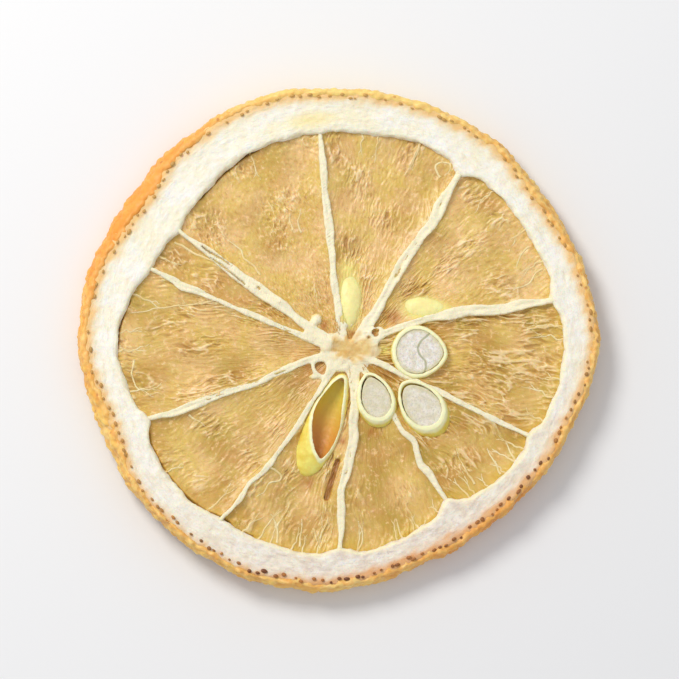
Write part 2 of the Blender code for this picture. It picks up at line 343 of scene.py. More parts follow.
def rounded_line(points, count):
    """Evenly spaced places on a line through points in millimetres, with its corners rounded."""
    knots, even = np.linspace(0, 1, len(points)), np.linspace(-0.2, 1.2, count * 7 // 5)
    window = np.hanning(count // len(points) + 2)
    ahead = np.array(points) * MM
    ends = ahead[0] * 2 - ahead[1], ahead[-1] * 2 - ahead[-2]
    knots = np.concatenate(((-knots[1],), knots, (1 + knots[1],)))
    ahead = np.vstack((ends[0], ahead, ends[1]))
    straight = [np.interp(even, knots, ahead[:, axis]) for axis in (0, 1)]
    smooth = [np.convolve(line, window / window.sum(), "same") for line in straight]
    start = count // 5
    return np.column_stack(smooth)[start:start + count]


def add_modifier(piece, kind, **settings):
    modifier = piece.modifiers.new(kind.lower(), kind)
    for name, value in settings.items():
        setattr(modifier, name, value)


def fuse(piece, voxel, smoothing):
    """Turns overlapping closed bodies into one even skin, then takes the steps out of it."""
    add_modifier(piece, "REMESH", mode="VOXEL", voxel_size=voxel)
    add_modifier(piece, "SMOOTH", iterations=smoothing, factor=0.5)
    apply_all(piece)


def relief(piece, texture, strength, coordinates="LOCAL", middle=0.5, axis="NORMAL"):
    """Adds a Displace modifier that raises the skin by a texture, strength high."""
    add_modifier(
        piece, "DISPLACE", texture=texture, texture_coords=coordinates,
        strength=strength, mid_level=middle, direction=axis,
    )


def clouds(name, size, depth):
    texture = bpy.data.textures.new(name, "CLOUDS")
    texture.noise_scale = size
    texture.noise_depth = depth
    return texture


def set_ramp(texture, ramp):
    """Says how high the skin is at each level of the texture."""
    texture.use_color_ramp = True
    points = texture.color_ramp.elements
    while len(points) < len(ramp):
        points.new(0.5)
    for point, (place, height) in zip(points, ramp):
        point.position = place
        point.color = (height, height, height, 1)


def cells(name, size, weights, ramp):
    """A cell pattern. The ramp goes from a cell's middle out, or with weights (-1, 1) from its border in."""
    texture = bpy.data.textures.new(name, "VORONOI")
    texture.noise_scale = size
    texture.weight_1, texture.weight_2 = weights
    set_ramp(texture, ramp)
    return texture


def ridges(name, size, depth):
    """Clouds whose middle level stands up as thin ridges."""
    texture = clouds(name, size, depth)
    set_ramp(texture, ((0.33, 0.0), (0.5, 1.0), (0.67, 0.0)))
    texture.color_ramp.interpolation = "EASE"
    return texture


def roughen(piece, *layers):
    """Raises the skin by cloud patterns, each (name, height, size, detail), in mm, and applies them."""
    for name, height, size, detail in layers:
        relief(piece, clouds(name, size * MM, detail), height * MM)
    apply_all(piece)


# %% [markdown]
# ## Shader node groups
#
# The pith, the pulp, the rind and the pips are all dried plant tissue, so they share some effects:
# blotchy colour, fine fibres and small dark specks. Each effect is one node group with named inputs,
# built once and placed in each material with its own values. The groups give out only colours and
# masks, and the shaders stay in the materials.

# %% Helpers for node trees
def feed(tree, socket, value):
    """Gives an input a value, or links it to the output that feeds it."""
    if isinstance(value, bpy.types.NodeSocket):
        tree.links.new(value, socket)
    else:
        socket.default_value = value


def add_node(tree, kind, settings=None, **inputs):
    """Adds a node with its settings and inputs. An underscore in an input's name is a space."""
    node = tree.nodes.new(kind)
    for name, value in (settings or {}).items():
        setattr(node, name, value)
    for name, value in inputs.items():
        feed(tree, node.inputs[name.replace("_", " ")], value)
    return node


def new_group(name, inputs, outputs):
    """A node group with its input and output nodes. Inputs are (name, kind, default)."""
    group = bpy.data.node_groups.new(name, "ShaderNodeTree")
    for label, kind, default in inputs:
        socket = group.interface.new_socket(label, in_out="INPUT", socket_type=kind)
        if default is not None:
            socket.default_value = default
    for label, kind in outputs:
        group.interface.new_socket(label, in_out="OUTPUT", socket_type=kind)
    return group, group.nodes.new("NodeGroupInput").outputs, group.nodes.new("NodeGroupOutput").inputs


def rgb(red, green, blue):
    """A colour as a picture states it, 0 to 255, turned into the linear light that shaders use."""
    def linear(value):
        share = value / 255
        return share / 12.92 if share <= 0.04045 else ((share + 0.055) / 1.055) ** 2.4
    return (linear(red), linear(green), linear(blue), 1)


def mix(tree, factor, first, second):
    """Mixes two colours, each a socket or a picture's (red, green, blue)."""
    node = add_node(tree, "ShaderNodeMix", {"data_type": "RGBA"})
    first, second = (rgb(*colour) if isinstance(colour, tuple) else colour for colour in (first, second))
    for number, value in ((0, factor), (6, first), (7, second)):
        feed(tree, node.inputs[number], value)
    return node.outputs[2]


def maths(tree, operation, *values, clamp=False):
    node = add_node(tree, "ShaderNodeMath", {"operation": operation, "use_clamp": clamp})
    for socket, value in zip(node.inputs, values):
        feed(tree, socket, value)
    return node.outputs[0]


def times(tree, first, second):
    return maths(tree, "MULTIPLY", first, second)


def between(tree, value, low, high):
    """Maps low to 0 and high to 1, smoothly."""
    settings = {"interpolation_type": "SMOOTHSTEP"}
    node = add_node(tree, "ShaderNodeMapRange", settings, Value=value, From_Min=low, From_Max=high)
    return node.outputs["Result"]


def noise(tree, places, scale, detail, roughness, distortion=0.0):
    return add_node(
        tree, "ShaderNodeTexNoise",
        Vector=places, Scale=scale, Detail=detail, Roughness=roughness, Distortion=distortion,
    ).outputs["Fac"]


# %% Blotches: soft patches between two colours
COLOUR, NUMBER, VECTOR = "NodeSocketColor", "NodeSocketFloat", "NodeSocketVector"
GREY = (0.5, 0.5, 0.5, 1)

blotches, inside, outside = new_group(
    "Blotches",
    (
        ("Vector", VECTOR, None), ("Patch Size", NUMBER, 0.004), ("Sharpness", NUMBER, 0.5),
        ("Colour A", COLOUR, GREY), ("Colour B", COLOUR, GREY),
    ),
    (("Color", COLOUR),),
)
frequency = maths(blotches, "DIVIDE", 1.0, inside["Patch Size"])
patches = noise(blotches, inside["Vector"], frequency, 3.0, 0.6)
steepness = times(blotches, inside["Sharpness"], 6.0)
off_middle = maths(blotches, "SUBTRACT", patches, 0.5)
patch_mask = maths(blotches, "MULTIPLY_ADD", off_middle, steepness, 0.5, clamp=True)
blotches.links.new(mix(blotches, patch_mask, inside["Colour A"], inside["Colour B"]), outside["Color"])

# %% Fibres: fine streaks along one direction of the coordinates they are given
fibres, inside, outside = new_group(
    "Fibres",
    (("Vector", VECTOR, None), ("Across", NUMBER, 1.0), ("Along", NUMBER, 1.0), ("Fineness", NUMBER, 0.6)),
    (("Height", NUMBER),),
)
split = add_node(fibres, "ShaderNodeSeparateXYZ", Vector=inside["Vector"]).outputs
stretched = add_node(
    fibres, "ShaderNodeCombineXYZ",
    X=times(fibres, split["X"], inside["Across"]),
    Y=times(fibres, split["Y"], inside["Along"]),
    Z=times(fibres, split["Z"], inside["Along"]),
).outputs["Vector"]
fibres.links.new(noise(fibres, stretched, 1.0, 4.0, inside["Fineness"], 0.3), outside["Height"])

# %% Specks: scattered small dots
specks, inside, outside = new_group(
    "Specks",
    (
        ("Vector", VECTOR, None), ("Spacing", NUMBER, 0.0012), ("Dot Size", NUMBER, 0.2),
        ("Share", NUMBER, 0.5),
    ),
    (("Mask", NUMBER),),
)
density = maths(specks, "DIVIDE", 1.0, inside["Spacing"])
dots = add_node(specks, "ShaderNodeTexVoronoi", Vector=inside["Vector"], Scale=density).outputs
near = maths(specks, "SUBTRACT", inside["Dot Size"], dots["Distance"])
dot = maths(specks, "MULTIPLY", near, 12.0, clamp=True)
chance = add_node(specks, "ShaderNodeSeparateColor", Color=dots["Color"]).outputs[0]
kept = maths(specks, "LESS_THAN", chance, inside["Share"])
specks.links.new(times(specks, dot, kept), outside["Mask"])


# %% [markdown]
# ## Materials
#
# Each material starts as a Principled shader. Its fixed numbers, such as the coat or the subsurface
# radius, are set on the shader's own sockets. Light enters dried fruit a little way and comes out warm,
# so nearly all of them scatter light under the skin, the pulp most of all. Masks on the mesh, which each
# piece gets when it is modelled, say where its colour changes, and `tint` mixes in a colour by a mask.

# %% A new material, and what all materials are made with
def new_material(
    name, roughness, scatter=0.0, scatter_radius=(1.0, 0.6, 0.3), scatter_depth=0.0008, coat=0.0,
):
    material = bpy.data.materials.new(name)
    material.use_nodes = True
    tree = material.node_tree
    shader = tree.nodes["Principled BSDF"]
    for socket, value in (
        ("Roughness", roughness), ("Subsurface Weight", scatter), ("Subsurface Radius", scatter_radius),
        ("Subsurface Scale", scatter_depth), ("Coat Weight", coat), ("Coat Roughness", 0.25),
    ):
        shader.inputs[socket].default_value = value
    return material, tree, shader, tree.nodes.new("ShaderNodeTexCoord").outputs["Object"]


def place_group(tree, group, **inputs):
    return add_node(tree, "ShaderNodeGroup", {"node_tree": group}, **inputs).outputs[0]


def blotchy(tree, places, size, sharpness, first, second):
    """Soft patches of two colours, about this many metres wide."""
    return place_group(
        tree, blotches, Vector=places, Patch_Size=size, Sharpness=sharpness,
        Colour_A=rgb(*first), Colour_B=rgb(*second),
    )


def from_mesh(tree, name, output="Fac"):
    """What the mesh says under this name."""
    return add_node(tree, "ShaderNodeAttribute", {"attribute_name": name}).outputs[output]


def tint(tree, colour, *layers):
    """Mixes colours over a colour, one after the other, each (mask, share, colour).

    A mask is a socket, or its name on the mesh."""
    for mask, share, target in layers:
        mask = from_mesh(tree, mask) if isinstance(mask, str) else mask
        colour = mix(tree, times(tree, mask, share), colour, target)
    return colour


def dress(tree, shader, colour, height=None, depth=0.0, strength=1.0):
    """Gives the shader its colour, and a fine relief from a height in shares of depth, in metres."""
    tree.links.new(colour, shader.inputs["Base Color"])
    if height is not None:
        grain = add_node(tree, "ShaderNodeBump", Height=height, Distance=depth, Strength=strength)
        tree.links.new(grain.outputs["Normal"], shader.inputs["Normal"])


# %% [markdown]
# ### Pith
#
# Dried pith is matt and white, like blotting paper, with cream blotches and fine fibres. It turns peach
# and orange towards the rind, cream along the membranes, and tan where the juice dried against it. Its
# lower right, away from the light, is painted a lilac-grey shade, and its cracks and pits are painted
# dark brown as shade.

# %% The pith's material
pith, tree, shader, places = new_material("pith", roughness=0.75, scatter=0.25, scatter_depth=0.0006)
shaded, by_rind = from_mesh(tree, "shaded"), from_mesh(tree, "by_rind")
rim_share = maths(tree, "MULTIPLY_ADD", from_mesh(tree, "cream"), -0.85, 1.0)  # membranes are cleaner
cream = blotchy(tree, places, 0.0026, 0.6, (255, 252, 241), (252, 243, 216))
lilac = blotchy(tree, places, 0.0012, 0.9, (248, 236, 219), (226, 208, 190))
grain = noise(tree, places, 2100.0, 5.0, 0.72)
fibre = place_group(
    tree, fibres, Vector=from_mesh(tree, "fibre_places", "Vector"), Across=1.0, Along=1.0, Fineness=0.6,
)
flecks = times(tree, between(tree, grain, 0.55, 0.7), rim_share)
dark_fibres = times(tree, between(tree, fibre, 0.46, 0.32), rim_share)
fleck_share = maths(tree, "MULTIPLY_ADD", shaded, 0.3, 0.4)
fleck_colour = mix(tree, shaded, (240, 224, 194), (208, 192, 184))
buff = mix(tree, shaded, (250, 226, 176), (248, 226, 200))
peach = mix(tree, shaded, (247, 198, 124), (228, 162, 92))
core_tan = blotchy(tree, places, 0.0024, 0.5, (212, 170, 88), (246, 214, 152))
core_pale = blotchy(tree, places, 0.0008, 0.7, (230, 184, 108), (252, 228, 162))
colour = tint(
    tree, cream,
    (shaded, 0.75, lilac),
    (flecks, fleck_share, fleck_colour),
    (between(tree, fibre, 0.54, 0.68), 0.6, (255, 252, 244)),
    (dark_fibres, 0.45, fleck_colour),
    (by_rind, 0.75, buff),
    (maths(tree, "POWER", by_rind, 3.0), 0.85, peach),
    ("yellow_stain", 0.65, (252, 230, 150)),
    ("cream", 0.85, (255, 242, 204)),
    ("lip", 0.8, (255, 244, 198)),
    ("groove", 0.35, (252, 240, 212)),
    ("by_pulp", 0.85, (250, 214, 118)),
    # painted shade: the cracks and the core's pits are dark brown
    ("crack", 0.8, (150, 112, 60)),
    ("core", 1.0, mix(tree, 0.5, core_tan, core_pale)),
)
dress(tree, shader, colour, maths(tree, "ADD", grain, fibre), 0.00025, 0.55)

# %% [markdown]
# ### Rind
#
# The rind is orange-yellow and pebbled, with a darker orange at its cut edge. Its hollows are painted a
# darker orange as shade, more so on the shaded side at the lower right.

# %% The rind's material
rind_skin, tree, shader, places = new_material(
    "rind", roughness=0.5, scatter=0.2, scatter_depth=0.0006, coat=0.05,
)
shaded = from_mesh(tree, "shaded")
band = place_group(
    tree, fibres, Vector=from_mesh(tree, "fibre_places", "Vector"), Across=0.9, Along=0.5, Fineness=0.6,
)
zest = blotchy(tree, places, 0.003, 0.6, (253, 215, 118), (248, 195, 88))
# painted shade in the pebbles' hollows, deeper and darker on the shaded side
hollow_shade_share = maths(tree, "MULTIPLY_ADD", shaded, 0.3, 0.5)
hollow_shade_colour = mix(tree, shaded, (230, 146, 56), (208, 116, 38))
dark_band_share = maths(tree, "MULTIPLY_ADD", shaded, 0.4, 0.45)
edge = blotchy(tree, places, 0.0008, 0.9, (252, 214, 136), (234, 164, 82))
pores = place_group(tree, specks, Vector=places, Spacing=0.0011, Dot_Size=0.2, Share=0.35)
colour = tint(
    tree, zest,
    ("hollow", hollow_shade_share, hollow_shade_colour),
    (between(tree, band, 0.48, 0.36), dark_band_share, (216, 138, 48)),
    (between(tree, band, 0.54, 0.66), 0.45, (255, 222, 150)),
    ("cut_edge", 0.6, edge),
    (shaded, 0.75, (240, 152, 46)),
    ("yellow", 0.6, (254, 226, 136)),
    (pores, 0.5, (176, 96, 36)),
)
dress(tree, shader, colour, noise(tree, places, 3200.0, 3.0, 0.6), 0.0001, 0.5)

# %% [markdown]
# ### Pulp
#
# Dried pulp is a film of glassy gold. Its colour changes softly from place to place: light gold, amber
# where the film is thick and, as painted shade, along its walls, rosy where it is thin, in patches that
# are partly painted highlight, brown beside the core. Masks say where the segment is amber, stained or
# wrinkled, and where shade is painted: in the gap where it parted from the pith, in the slit, and round
# the tip of the empty pip. The wrinkles are real relief, and the mask called "relief" says how high
# each point came out, so the same pattern gives pale crests, partly the sacs' own pale walls and partly
# painted highlight, and brown furrows, which are painted shade. Streaks finer than the mesh come from
# the Fibres group, which reads the segment's UV map, so they run from the core to the pith. Their pale
# lines are partly painted highlight, and their brown lines painted shade.

# %% The pulp's material
pulp, tree, shader, places = new_material(
    "pulp", roughness=0.4, scatter=0.4, scatter_radius=(1.0, 0.5, 0.15), scatter_depth=0.0007, coat=0.12,
)
height, ruffled = from_mesh(tree, "relief"), from_mesh(tree, "ruffled")
sac_map = add_node(tree, "ShaderNodeUVMap", {"uv_map": "sacs"}).outputs["UV"]
streak = place_group(tree, fibres, Vector=sac_map, Across=3.6, Along=2.6, Fineness=0.55)
speckle = noise(tree, places, 2000.0, 3.0, 0.6)
gold = blotchy(tree, places, 0.0045, 0.7, (236, 205, 132), (222, 185, 94))
# rosy patches, partly painted highlight
rosy_highlight = blotchy(tree, places, 0.0030, 1.0, (226, 192, 96), (240, 194, 142))
amber = blotchy(tree, places, 0.0022, 1.0, (188, 156, 64), (196, 144, 70))
pale_streaks = times(tree, between(tree, streak, 0.56, 0.74), 0.6)
brown_streaks = times(tree, between(tree, streak, 0.44, 0.28), 0.55)
colour = tint(
    tree, mix(tree, 0.5, gold, rosy_highlight),
    ("amber", 1.0, amber),
    (between(tree, speckle, 0.54, 0.70), 0.75, (250, 214, 160)),
    (between(tree, speckle, 0.46, 0.30), 0.45, (186, 136, 56)),
    # painted shade: brown in the low furrows of the relief
    (between(tree, height, 0.36, 0.05), 0.7, (164, 108, 36)),
    # fine streaks: the pale lines are partly painted highlight, the brown ones painted shade
    (pale_streaks, maths(tree, "MULTIPLY_ADD", ruffled, 1.1, 0.35), (250, 222, 160)),
    (brown_streaks, maths(tree, "MULTIPLY_ADD", ruffled, 1.2, 0.3), (180, 124, 48)),
    # pale crests: partly the sacs' own pale walls, partly painted highlight
    (between(tree, height, 0.62, 1.0), 0.7, (252, 226, 182)),
    ("golden", 0.8, (222, 184, 74)),
    ("over_pip", 0.8, (246, 232, 138)),
    # dried juice, and painted shade in the slit and round the empty pip's tip
    ("stained", 0.85, (182, 112, 36)),
    # painted shade: dark brown in the gap where the pulp parted from the pith, and in the slit
    ("gap", 0.8, (136, 92, 36)),
)
dress(tree, shader, colour, streak, 0.00012, 0.5)

# %% [markdown]
# ### Pips, veins and glands
#
# A pip's hull is woody and cream, greener-yellow where the wet pulp covered it. The kernel inside is
# greyish white and grainy. The oil glands of the peel dry to dots, dark brown ones at the lower right
# and faint olive ones elsewhere.

# %% The smaller materials
hull_skin, tree, shader, places = new_material(
    "pip_hull", roughness=0.5, scatter=0.3, scatter_depth=0.0005, coat=0.1,
)
shell = blotchy(tree, places, 0.0014, 0.6, (250, 238, 126), (234, 208, 84))
inner_wall = mix(tree, from_mesh(tree, "deep"), (226, 204, 82), (224, 160, 70))
colour = tint(tree, shell, ("rim", 1.0, (254, 248, 196)), ("inside", 1.0, inner_wall))
dress(tree, shader, colour, noise(tree, places, 4200.0, 3.0, 0.6), 0.00008, 0.4)

kernel_flesh, tree, shader, places = new_material(
    "pip_kernel", roughness=0.6, scatter=0.3, scatter_depth=0.0005,
)
starch = blotchy(tree, places, 0.0006, 0.7, (248, 241, 234), (230, 222, 200))
grain = noise(tree, places, 5200.0, 4.0, 0.7)
colour = tint(
    tree, starch,
    (between(tree, grain, 0.52, 0.38), 0.65, (202, 196, 190)),
    ("rim", 0.6, (212, 202, 150)),
    ("seam", 0.7, (152, 156, 106)),
)
dress(tree, shader, colour, grain, 0.0001, 0.6)

vein_fibre, tree, shader, places = new_material("vein", roughness=0.6, scatter=0.2, scatter_depth=0.0004)
dress(tree, shader, blotchy(tree, places, 0.0016, 0.6, (250, 230, 178), (238, 206, 140)))

gland_oil, tree, shader, places = new_material("oil_gland", roughness=0.45)
dried_oil = blotchy(tree, places, 0.003, 0.9, (112, 62, 26), (180, 114, 50))
colour = mix(tree, from_mesh(tree, "dark"), (204, 160, 84), dried_oil)
dress(tree, shader, colour)

print("materials:", sorted(material.name for material in bpy.data.materials))

# %% [markdown]
# ## The rim of pith
#
# The white rim starts as a circle, stood upright and spun round the Z axis into a doughnut. Its points
# are then moved out to the plan: across the doughnut becomes across the rim. The doughnut's round
# section is squared up on the way, with its points spread evenly round the new section, or they would
# crowd at the corners.

# %% A ring, spun
RING_OF_SPIN = 3.0


def spun_ring(name, corners, steps):
    """A doughnut of section radius 1, as a start for what goes round the slice."""
    bpy.ops.mesh.primitive_circle_add(
        vertices=corners, radius=1, location=(RING_OF_SPIN, 0, 0), rotation=(math.pi / 2, 0, 0),
    )
    piece = new_piece(name)
    edit(piece)
    bpy.ops.mesh.spin(steps=steps, angle=math.tau, center=(0, 0, 0), axis=(0, 0, 1))
    bpy.ops.mesh.select_all(action="SELECT")
    bpy.ops.mesh.remove_doubles(threshold=0.001)
    bpy.ops.mesh.normals_make_consistent(inside=False)
    leave_edit()
    return piece


def section_of(piece, corners, outer_roundness, inner_roundness, width, height):
    """(angle round the ring, share across the section, share up it) of each point of a spun ring.

    Roundness 1 keeps a side of the section round, and less makes it squarer."""
    turn = np.linspace(0, math.tau, 4001)
    roundness = np.where(np.cos(turn) > 0, outer_roundness, inner_roundness)
    across, up = (np.sign(side) * np.abs(side) ** roundness for side in (np.cos(turn), np.sin(turn)))
    step = np.hypot(np.diff(across) * width, np.diff(up) * height)
    length = np.concatenate(((0,), np.cumsum(step)))
    even = np.linspace(0, length[-1], corners, endpoint=False)
    across, up = np.interp(even, length, across), np.interp(even, length, up)
    places = read_places(piece)
    reach = np.hypot(places[:, 0], places[:, 1]) - RING_OF_SPIN
    corner = np.round(np.arctan2(places[:, 2], reach) / math.tau * corners).astype(int) % corners
    angle = np.degrees(np.arctan2(places[:, 1], places[:, 0])) % 360
    return angle, (across[corner] + 1) / 2, (up[corner] + 1) / 2


def place_round(angle, radius, height):
    flat = RING_CENTRE + direction(angle) * radius[:, None]
    return np.column_stack((flat, height + lift(flat[:, 0], flat[:, 1])))


# %% The rim
RIM_CORNERS, RIM_STEPS = 84, 880
RIM_OVERLAP = 0.5 * MM  # how far the pith runs under the rind
rim = spun_ring("pith_rim", RIM_CORNERS, RIM_STEPS)
angle, across, up = section_of(
    rim, RIM_CORNERS, outer_roundness=0.2, inner_roundness=0.3, width=3.8 * MM, height=RIM_TOP,
)
arc = np.radians(angle) * OUTER_RADIUS
inner = pith_inner_radius(angle) + 0.14 * MM * waves(arc, up * RIM_TOP, 2.4 * MM, 11)
inner = inner + 0.05 * MM * waves(arc, up * RIM_TOP, 0.9 * MM, 12)
outer = wall_radius(angle, 1 - up) - RIND_THICKNESS + RIM_OVERLAP
top_dip = 0.16 * MM * np.sin(np.pi * across) * (up - 0.5) * 2
height = 0.08 * MM + (RIM_TOP - 0.1 * MM) * up - top_dip
write_places(rim, place_round(angle, inner + (outer - inner) * across, height))
roughen(rim, ("dents", 0.22, 1.6, 2), ("grain", 0.14, 0.45, 3))

# %% [markdown]
# ## Membranes and core
#
# The ten membranes and the core grew together. As one mesh, the places where they meet would be hard
# work. So they are made as separate closed bodies that overlap, and then fused: a voxel remesh lays one
# even skin round them all, and smoothing takes out its steps and rounds the corners, as drying does.
#
# Each membrane starts as a long narrow grid, the plan of the wall seen from above. It is bent along its
# course, given its width, and extruded upwards into a closed wall. It runs a little way into the rim
# and into the core, and its top climbs to the rim's level at the outer end. A membrane is two skins, one
# of each segment, and they part where they dried unevenly. So it is built of two or three strands.

# %% The membranes, extruded
STRAND_STEPS = 90
REACH_IN, REACH_OUT = -0.06, 1.03  # shares of a membrane's length at which its strands start and end
WIDE = 0.7 * MM  # a membrane wider than this has three strands
STRAND_CREST = 0.12 * MM  # smoothing takes about this much off a narrow top
THINNEST = 0.15 * MM
END_RISE = 0.26 * MM  # how much higher a membrane is at the pith
CLIMB_FROM, CLIMB_TO = 16.5 * MM, 21.5 * MM  # from the core's middle, where it climbs to that height
END_BOTTOM = 0.25 * MM
ROOT_FLARE, ROOT_SPREAD = 0.5 * MM, 0.08  # how much wider it is at the core, and over which share
BAND_DROP = 0.12 * MM  # how much lower the outer strands are than the middle one


def width_along(row, share):
    at_pith, half_way, at_core = row.widths
    inner_half = at_core + (half_way - at_core) * smooth_step(share, 0.0, 0.5)
    width = inner_half + (at_pith - half_way) * smooth_step(share, 0.5, 0.95)
    return width + ROOT_FLARE * np.exp(-np.maximum(0, share) / ROOT_SPREAD)


def waves_along(share, size, seed):
    """Unevenness along a membrane, which is about 20 mm long."""
    return waves(share * 20 * MM, 0, size * MM, seed)


def membrane_wander(index, share):
    return 0.08 * MM * waves_along(share, 5, 30 + index)


def membrane_strand(index, row, strand, count):
    """One of the wavy strands that lie side by side in a membrane, and part here and there.

    Offsets are measured sideways from the membrane's middle line."""
    seed = 10 * index + strand
    bpy.ops.mesh.primitive_grid_add(x_subdivisions=STRAND_STEPS, y_subdivisions=2, size=2)
    piece = new_piece(f"membrane_{index}_{strand}")
    places = read_places(piece)
    share = REACH_IN + (places[:, 0] + 1) / 2 * (REACH_OUT - REACH_IN)
    middle = middle_line(row, share)
    side = sideways(middle_line(row, share + 0.01) - middle)
    width = width_along(row, share)
    closing = 1 - 0.7 * smooth_step(share, 0.8, 0.97)  # the strands come together at the pith
    lane = (strand - (count - 1) / 2) * width / count * closing
    stray = (0.03 * MM + 0.13 * width) * waves_along(share, 5, 300 + seed)
    stray = stray * (1 - smooth_step(share, 0.75, 0.95))
    half = np.maximum(THINNEST, width / count * 0.55 * (1 + 0.22 * waves_along(share, 3.5, 500 + seed)))
    offset = places[:, 1] * half + lane + membrane_wander(index, share) + stray
    write_places(piece, np.column_stack((middle + side * offset[:, None], np.zeros(len(places)))))
    extrude_closed(piece, 1)
    places = read_places(piece)
    reach = np.linalg.norm(places[:, :2] - CORE_CENTRE, axis=1)
    climb = smooth_step(reach, CLIMB_FROM, CLIMB_TO)
    uneven = 0.10 * MM * waves_over(places, 2.5, 700 + seed) - BAND_DROP * (strand != seed % count)
    top = MEMBRANE_TOP + STRAND_CREST + END_RISE * climb + uneven
    bottom = MEMBRANE_BOTTOM * (1 - climb) + END_BOTTOM * climb
    places[:, 2] = np.where(places[:, 2] > 0.5, top, bottom) + lift(places[:, 0], places[:, 1])
    write_places(piece, places)
    return piece


strands = []
for index, row in enumerate(MEMBRANES):
    count = 3 if max(row.widths) > WIDE else 2
    strands += [membrane_strand(index, row, strand, count) for strand in range(count)]

# %% [markdown]
# The core is a ball squashed into an uneven cushion, with smaller knots of pith round it where membranes
# and pip stalks meet it, and small rings where stalks broke off.

# %% The core
CORE_KNOTS = (  # (middle, length, width, turn in degrees, height of the top), in mm
    ((-2.5, 1.9), 1.6, 1.5, 60, 3.0),
    ((0.2, 1.35), 2.1, 1.3, 10, 3.0),
    ((1.2, 1.5), 0.8, 0.6, 70, 2.8),
    ((-2.6, -4.0), 1.6, 0.8, 175, 2.9),
    ((0.2, -3.1), 2.8, 1.0, 0, 3.1),
    ((3.3, -2.4), 1.5, 0.8, 10, 3.0),
    ((3.8, -0.9), 2.2, 0.5, 90, 3.0),
)
LOOPS = (  # (middle, radius, half its thickness), in mm
    ((3.65, 0.55, 2.95), 0.6, 0.18), ((2.9, 0.35, 2.9), 0.42, 0.16), ((-2.1, -3.0, 2.75), 0.85, 0.2),
)


def cushion(name, middle, length, width, turn, top):
    """A squashed ball from the underside's level up to a top."""
    bottom = MEMBRANE_BOTTOM + 0.2 * MM
    bpy.ops.mesh.primitive_ico_sphere_add(
        subdivisions=4, radius=1, location=(*middle, (top + bottom) / 2),
        rotation=(0, 0, math.radians(turn)), scale=(length / 2, width / 2, (top - bottom) / 2),
    )
    return new_piece(name)


core = cushion("core", CORE_CENTRE, CORE_LENGTH, CORE_WIDTH, 0, MEMBRANE_TOP + 0.55 * MM)
places = read_places(core)
notch = 0.3 * bump(core_angle_of(places), 76, 20)
uneven = 1 + 0.16 * waves_over(places, 3, 5) - notch
places[:, :2] = CORE_CENTRE + (places[:, :2] - CORE_CENTRE) * uneven[:, None]
hollow = CORE_DIMPLE * np.exp(-((core_reach(places) / 0.6) ** 2))
crown = MEMBRANE_TOP + 0.2 * MM - hollow + 0.10 * MM * waves_over(places, 1.4, 6)
places[:, 2] = np.minimum(places[:, 2], crown)
write_places(core, places)
knots = []
for index, (middle, length, width, turn, top) in enumerate(CORE_KNOTS):
    knots.append(cushion(f"knot_{index}", np.array(middle) * MM, length * MM, width * MM, turn, top * MM))
for index, (middle, radius, half) in enumerate(LOOPS):
    bpy.ops.mesh.primitive_torus_add(
        major_radius=radius * MM, minor_radius=half * MM, major_segments=40, minor_segments=16,
        location=[value * MM for value in middle],
    )
    loop = new_piece(f"loop_{index}")
    places = read_places(loop)
    places[:, :2] += 0.2 * MM * wobble(places, 1.6, 15)
    write_places(loop, places)
    knots.append(loop)

# %% [markdown]
# Now they are joined and fused. What is finer comes after, because a remesh would round it away. First a
# shallow groove along each membrane, between its two skins, the two long cracks that opened in the wide
# one at the upper left, and the pits of the core. Then two Displace modifiers with cloud textures, one
# for soft dents and one for the papery grain. Last, rim and web get their masks, which are worked out
# from the plan.

# %% Fusing and wrinkling the web
WEB_VOXEL = 0.135 * MM
web = join([*strands, core, *knots])
web.name = web.data.name = "pith_web"
fuse(web, WEB_VOXEL, 3)
GROOVE_DEPTH, CRACK_DEPTH, CRACK_WIDTH = 0.12 * MM, 0.4 * MM, 0.13 * MM
CRACKED = 3  # the membrane with the cracks
CRACKS = ((0.88, 0.64, 0.26), (0.80, 0.50, -0.27))  # (share from, share to, way off the middle in widths)
# the dark of each pit is painted shade
PITS = (  # (middle in mm, radius in mm, how dark and deep)
    ((3.7, 0.5), 0.30, 1.5), ((2.95, 0.15), 0.22, 1.0), ((1.45, 1.40), 0.18, 0.9),
    ((0.80, 1.70), 0.15, 0.5), ((1.65, -0.55), 0.16, 0.5), ((0.95, -2.10), 0.13, 0.4),
)


def skin_groove(flat):
    """How near the middle of a membrane each place in plan is, 1 on it, between the core and the pith."""
    nearness = np.zeros(len(flat))
    for index, row in enumerate(MEMBRANES):
        start, end = middle_line(row, np.array((0.0, 1.0)))
        chord = end - start
        share = (flat - start) @ chord / (chord @ chord)
        offset = (flat - middle_line(row, share)) @ sideways(chord) - membrane_wander(index, share)
        spread = 0.18 * width_along(row, share)
        patchy = np.clip(0.6 + 0.5 * waves_along(share, 6, 40 + index), 0, 1)  # it fades here and there
        within = smooth_step(share, 0.02, 0.12) * (1 - smooth_step(share, 0.9, 1.0))
        nearness = np.maximum(nearness, np.exp(-((offset / spread) ** 2)) * patchy * within)
    return nearness


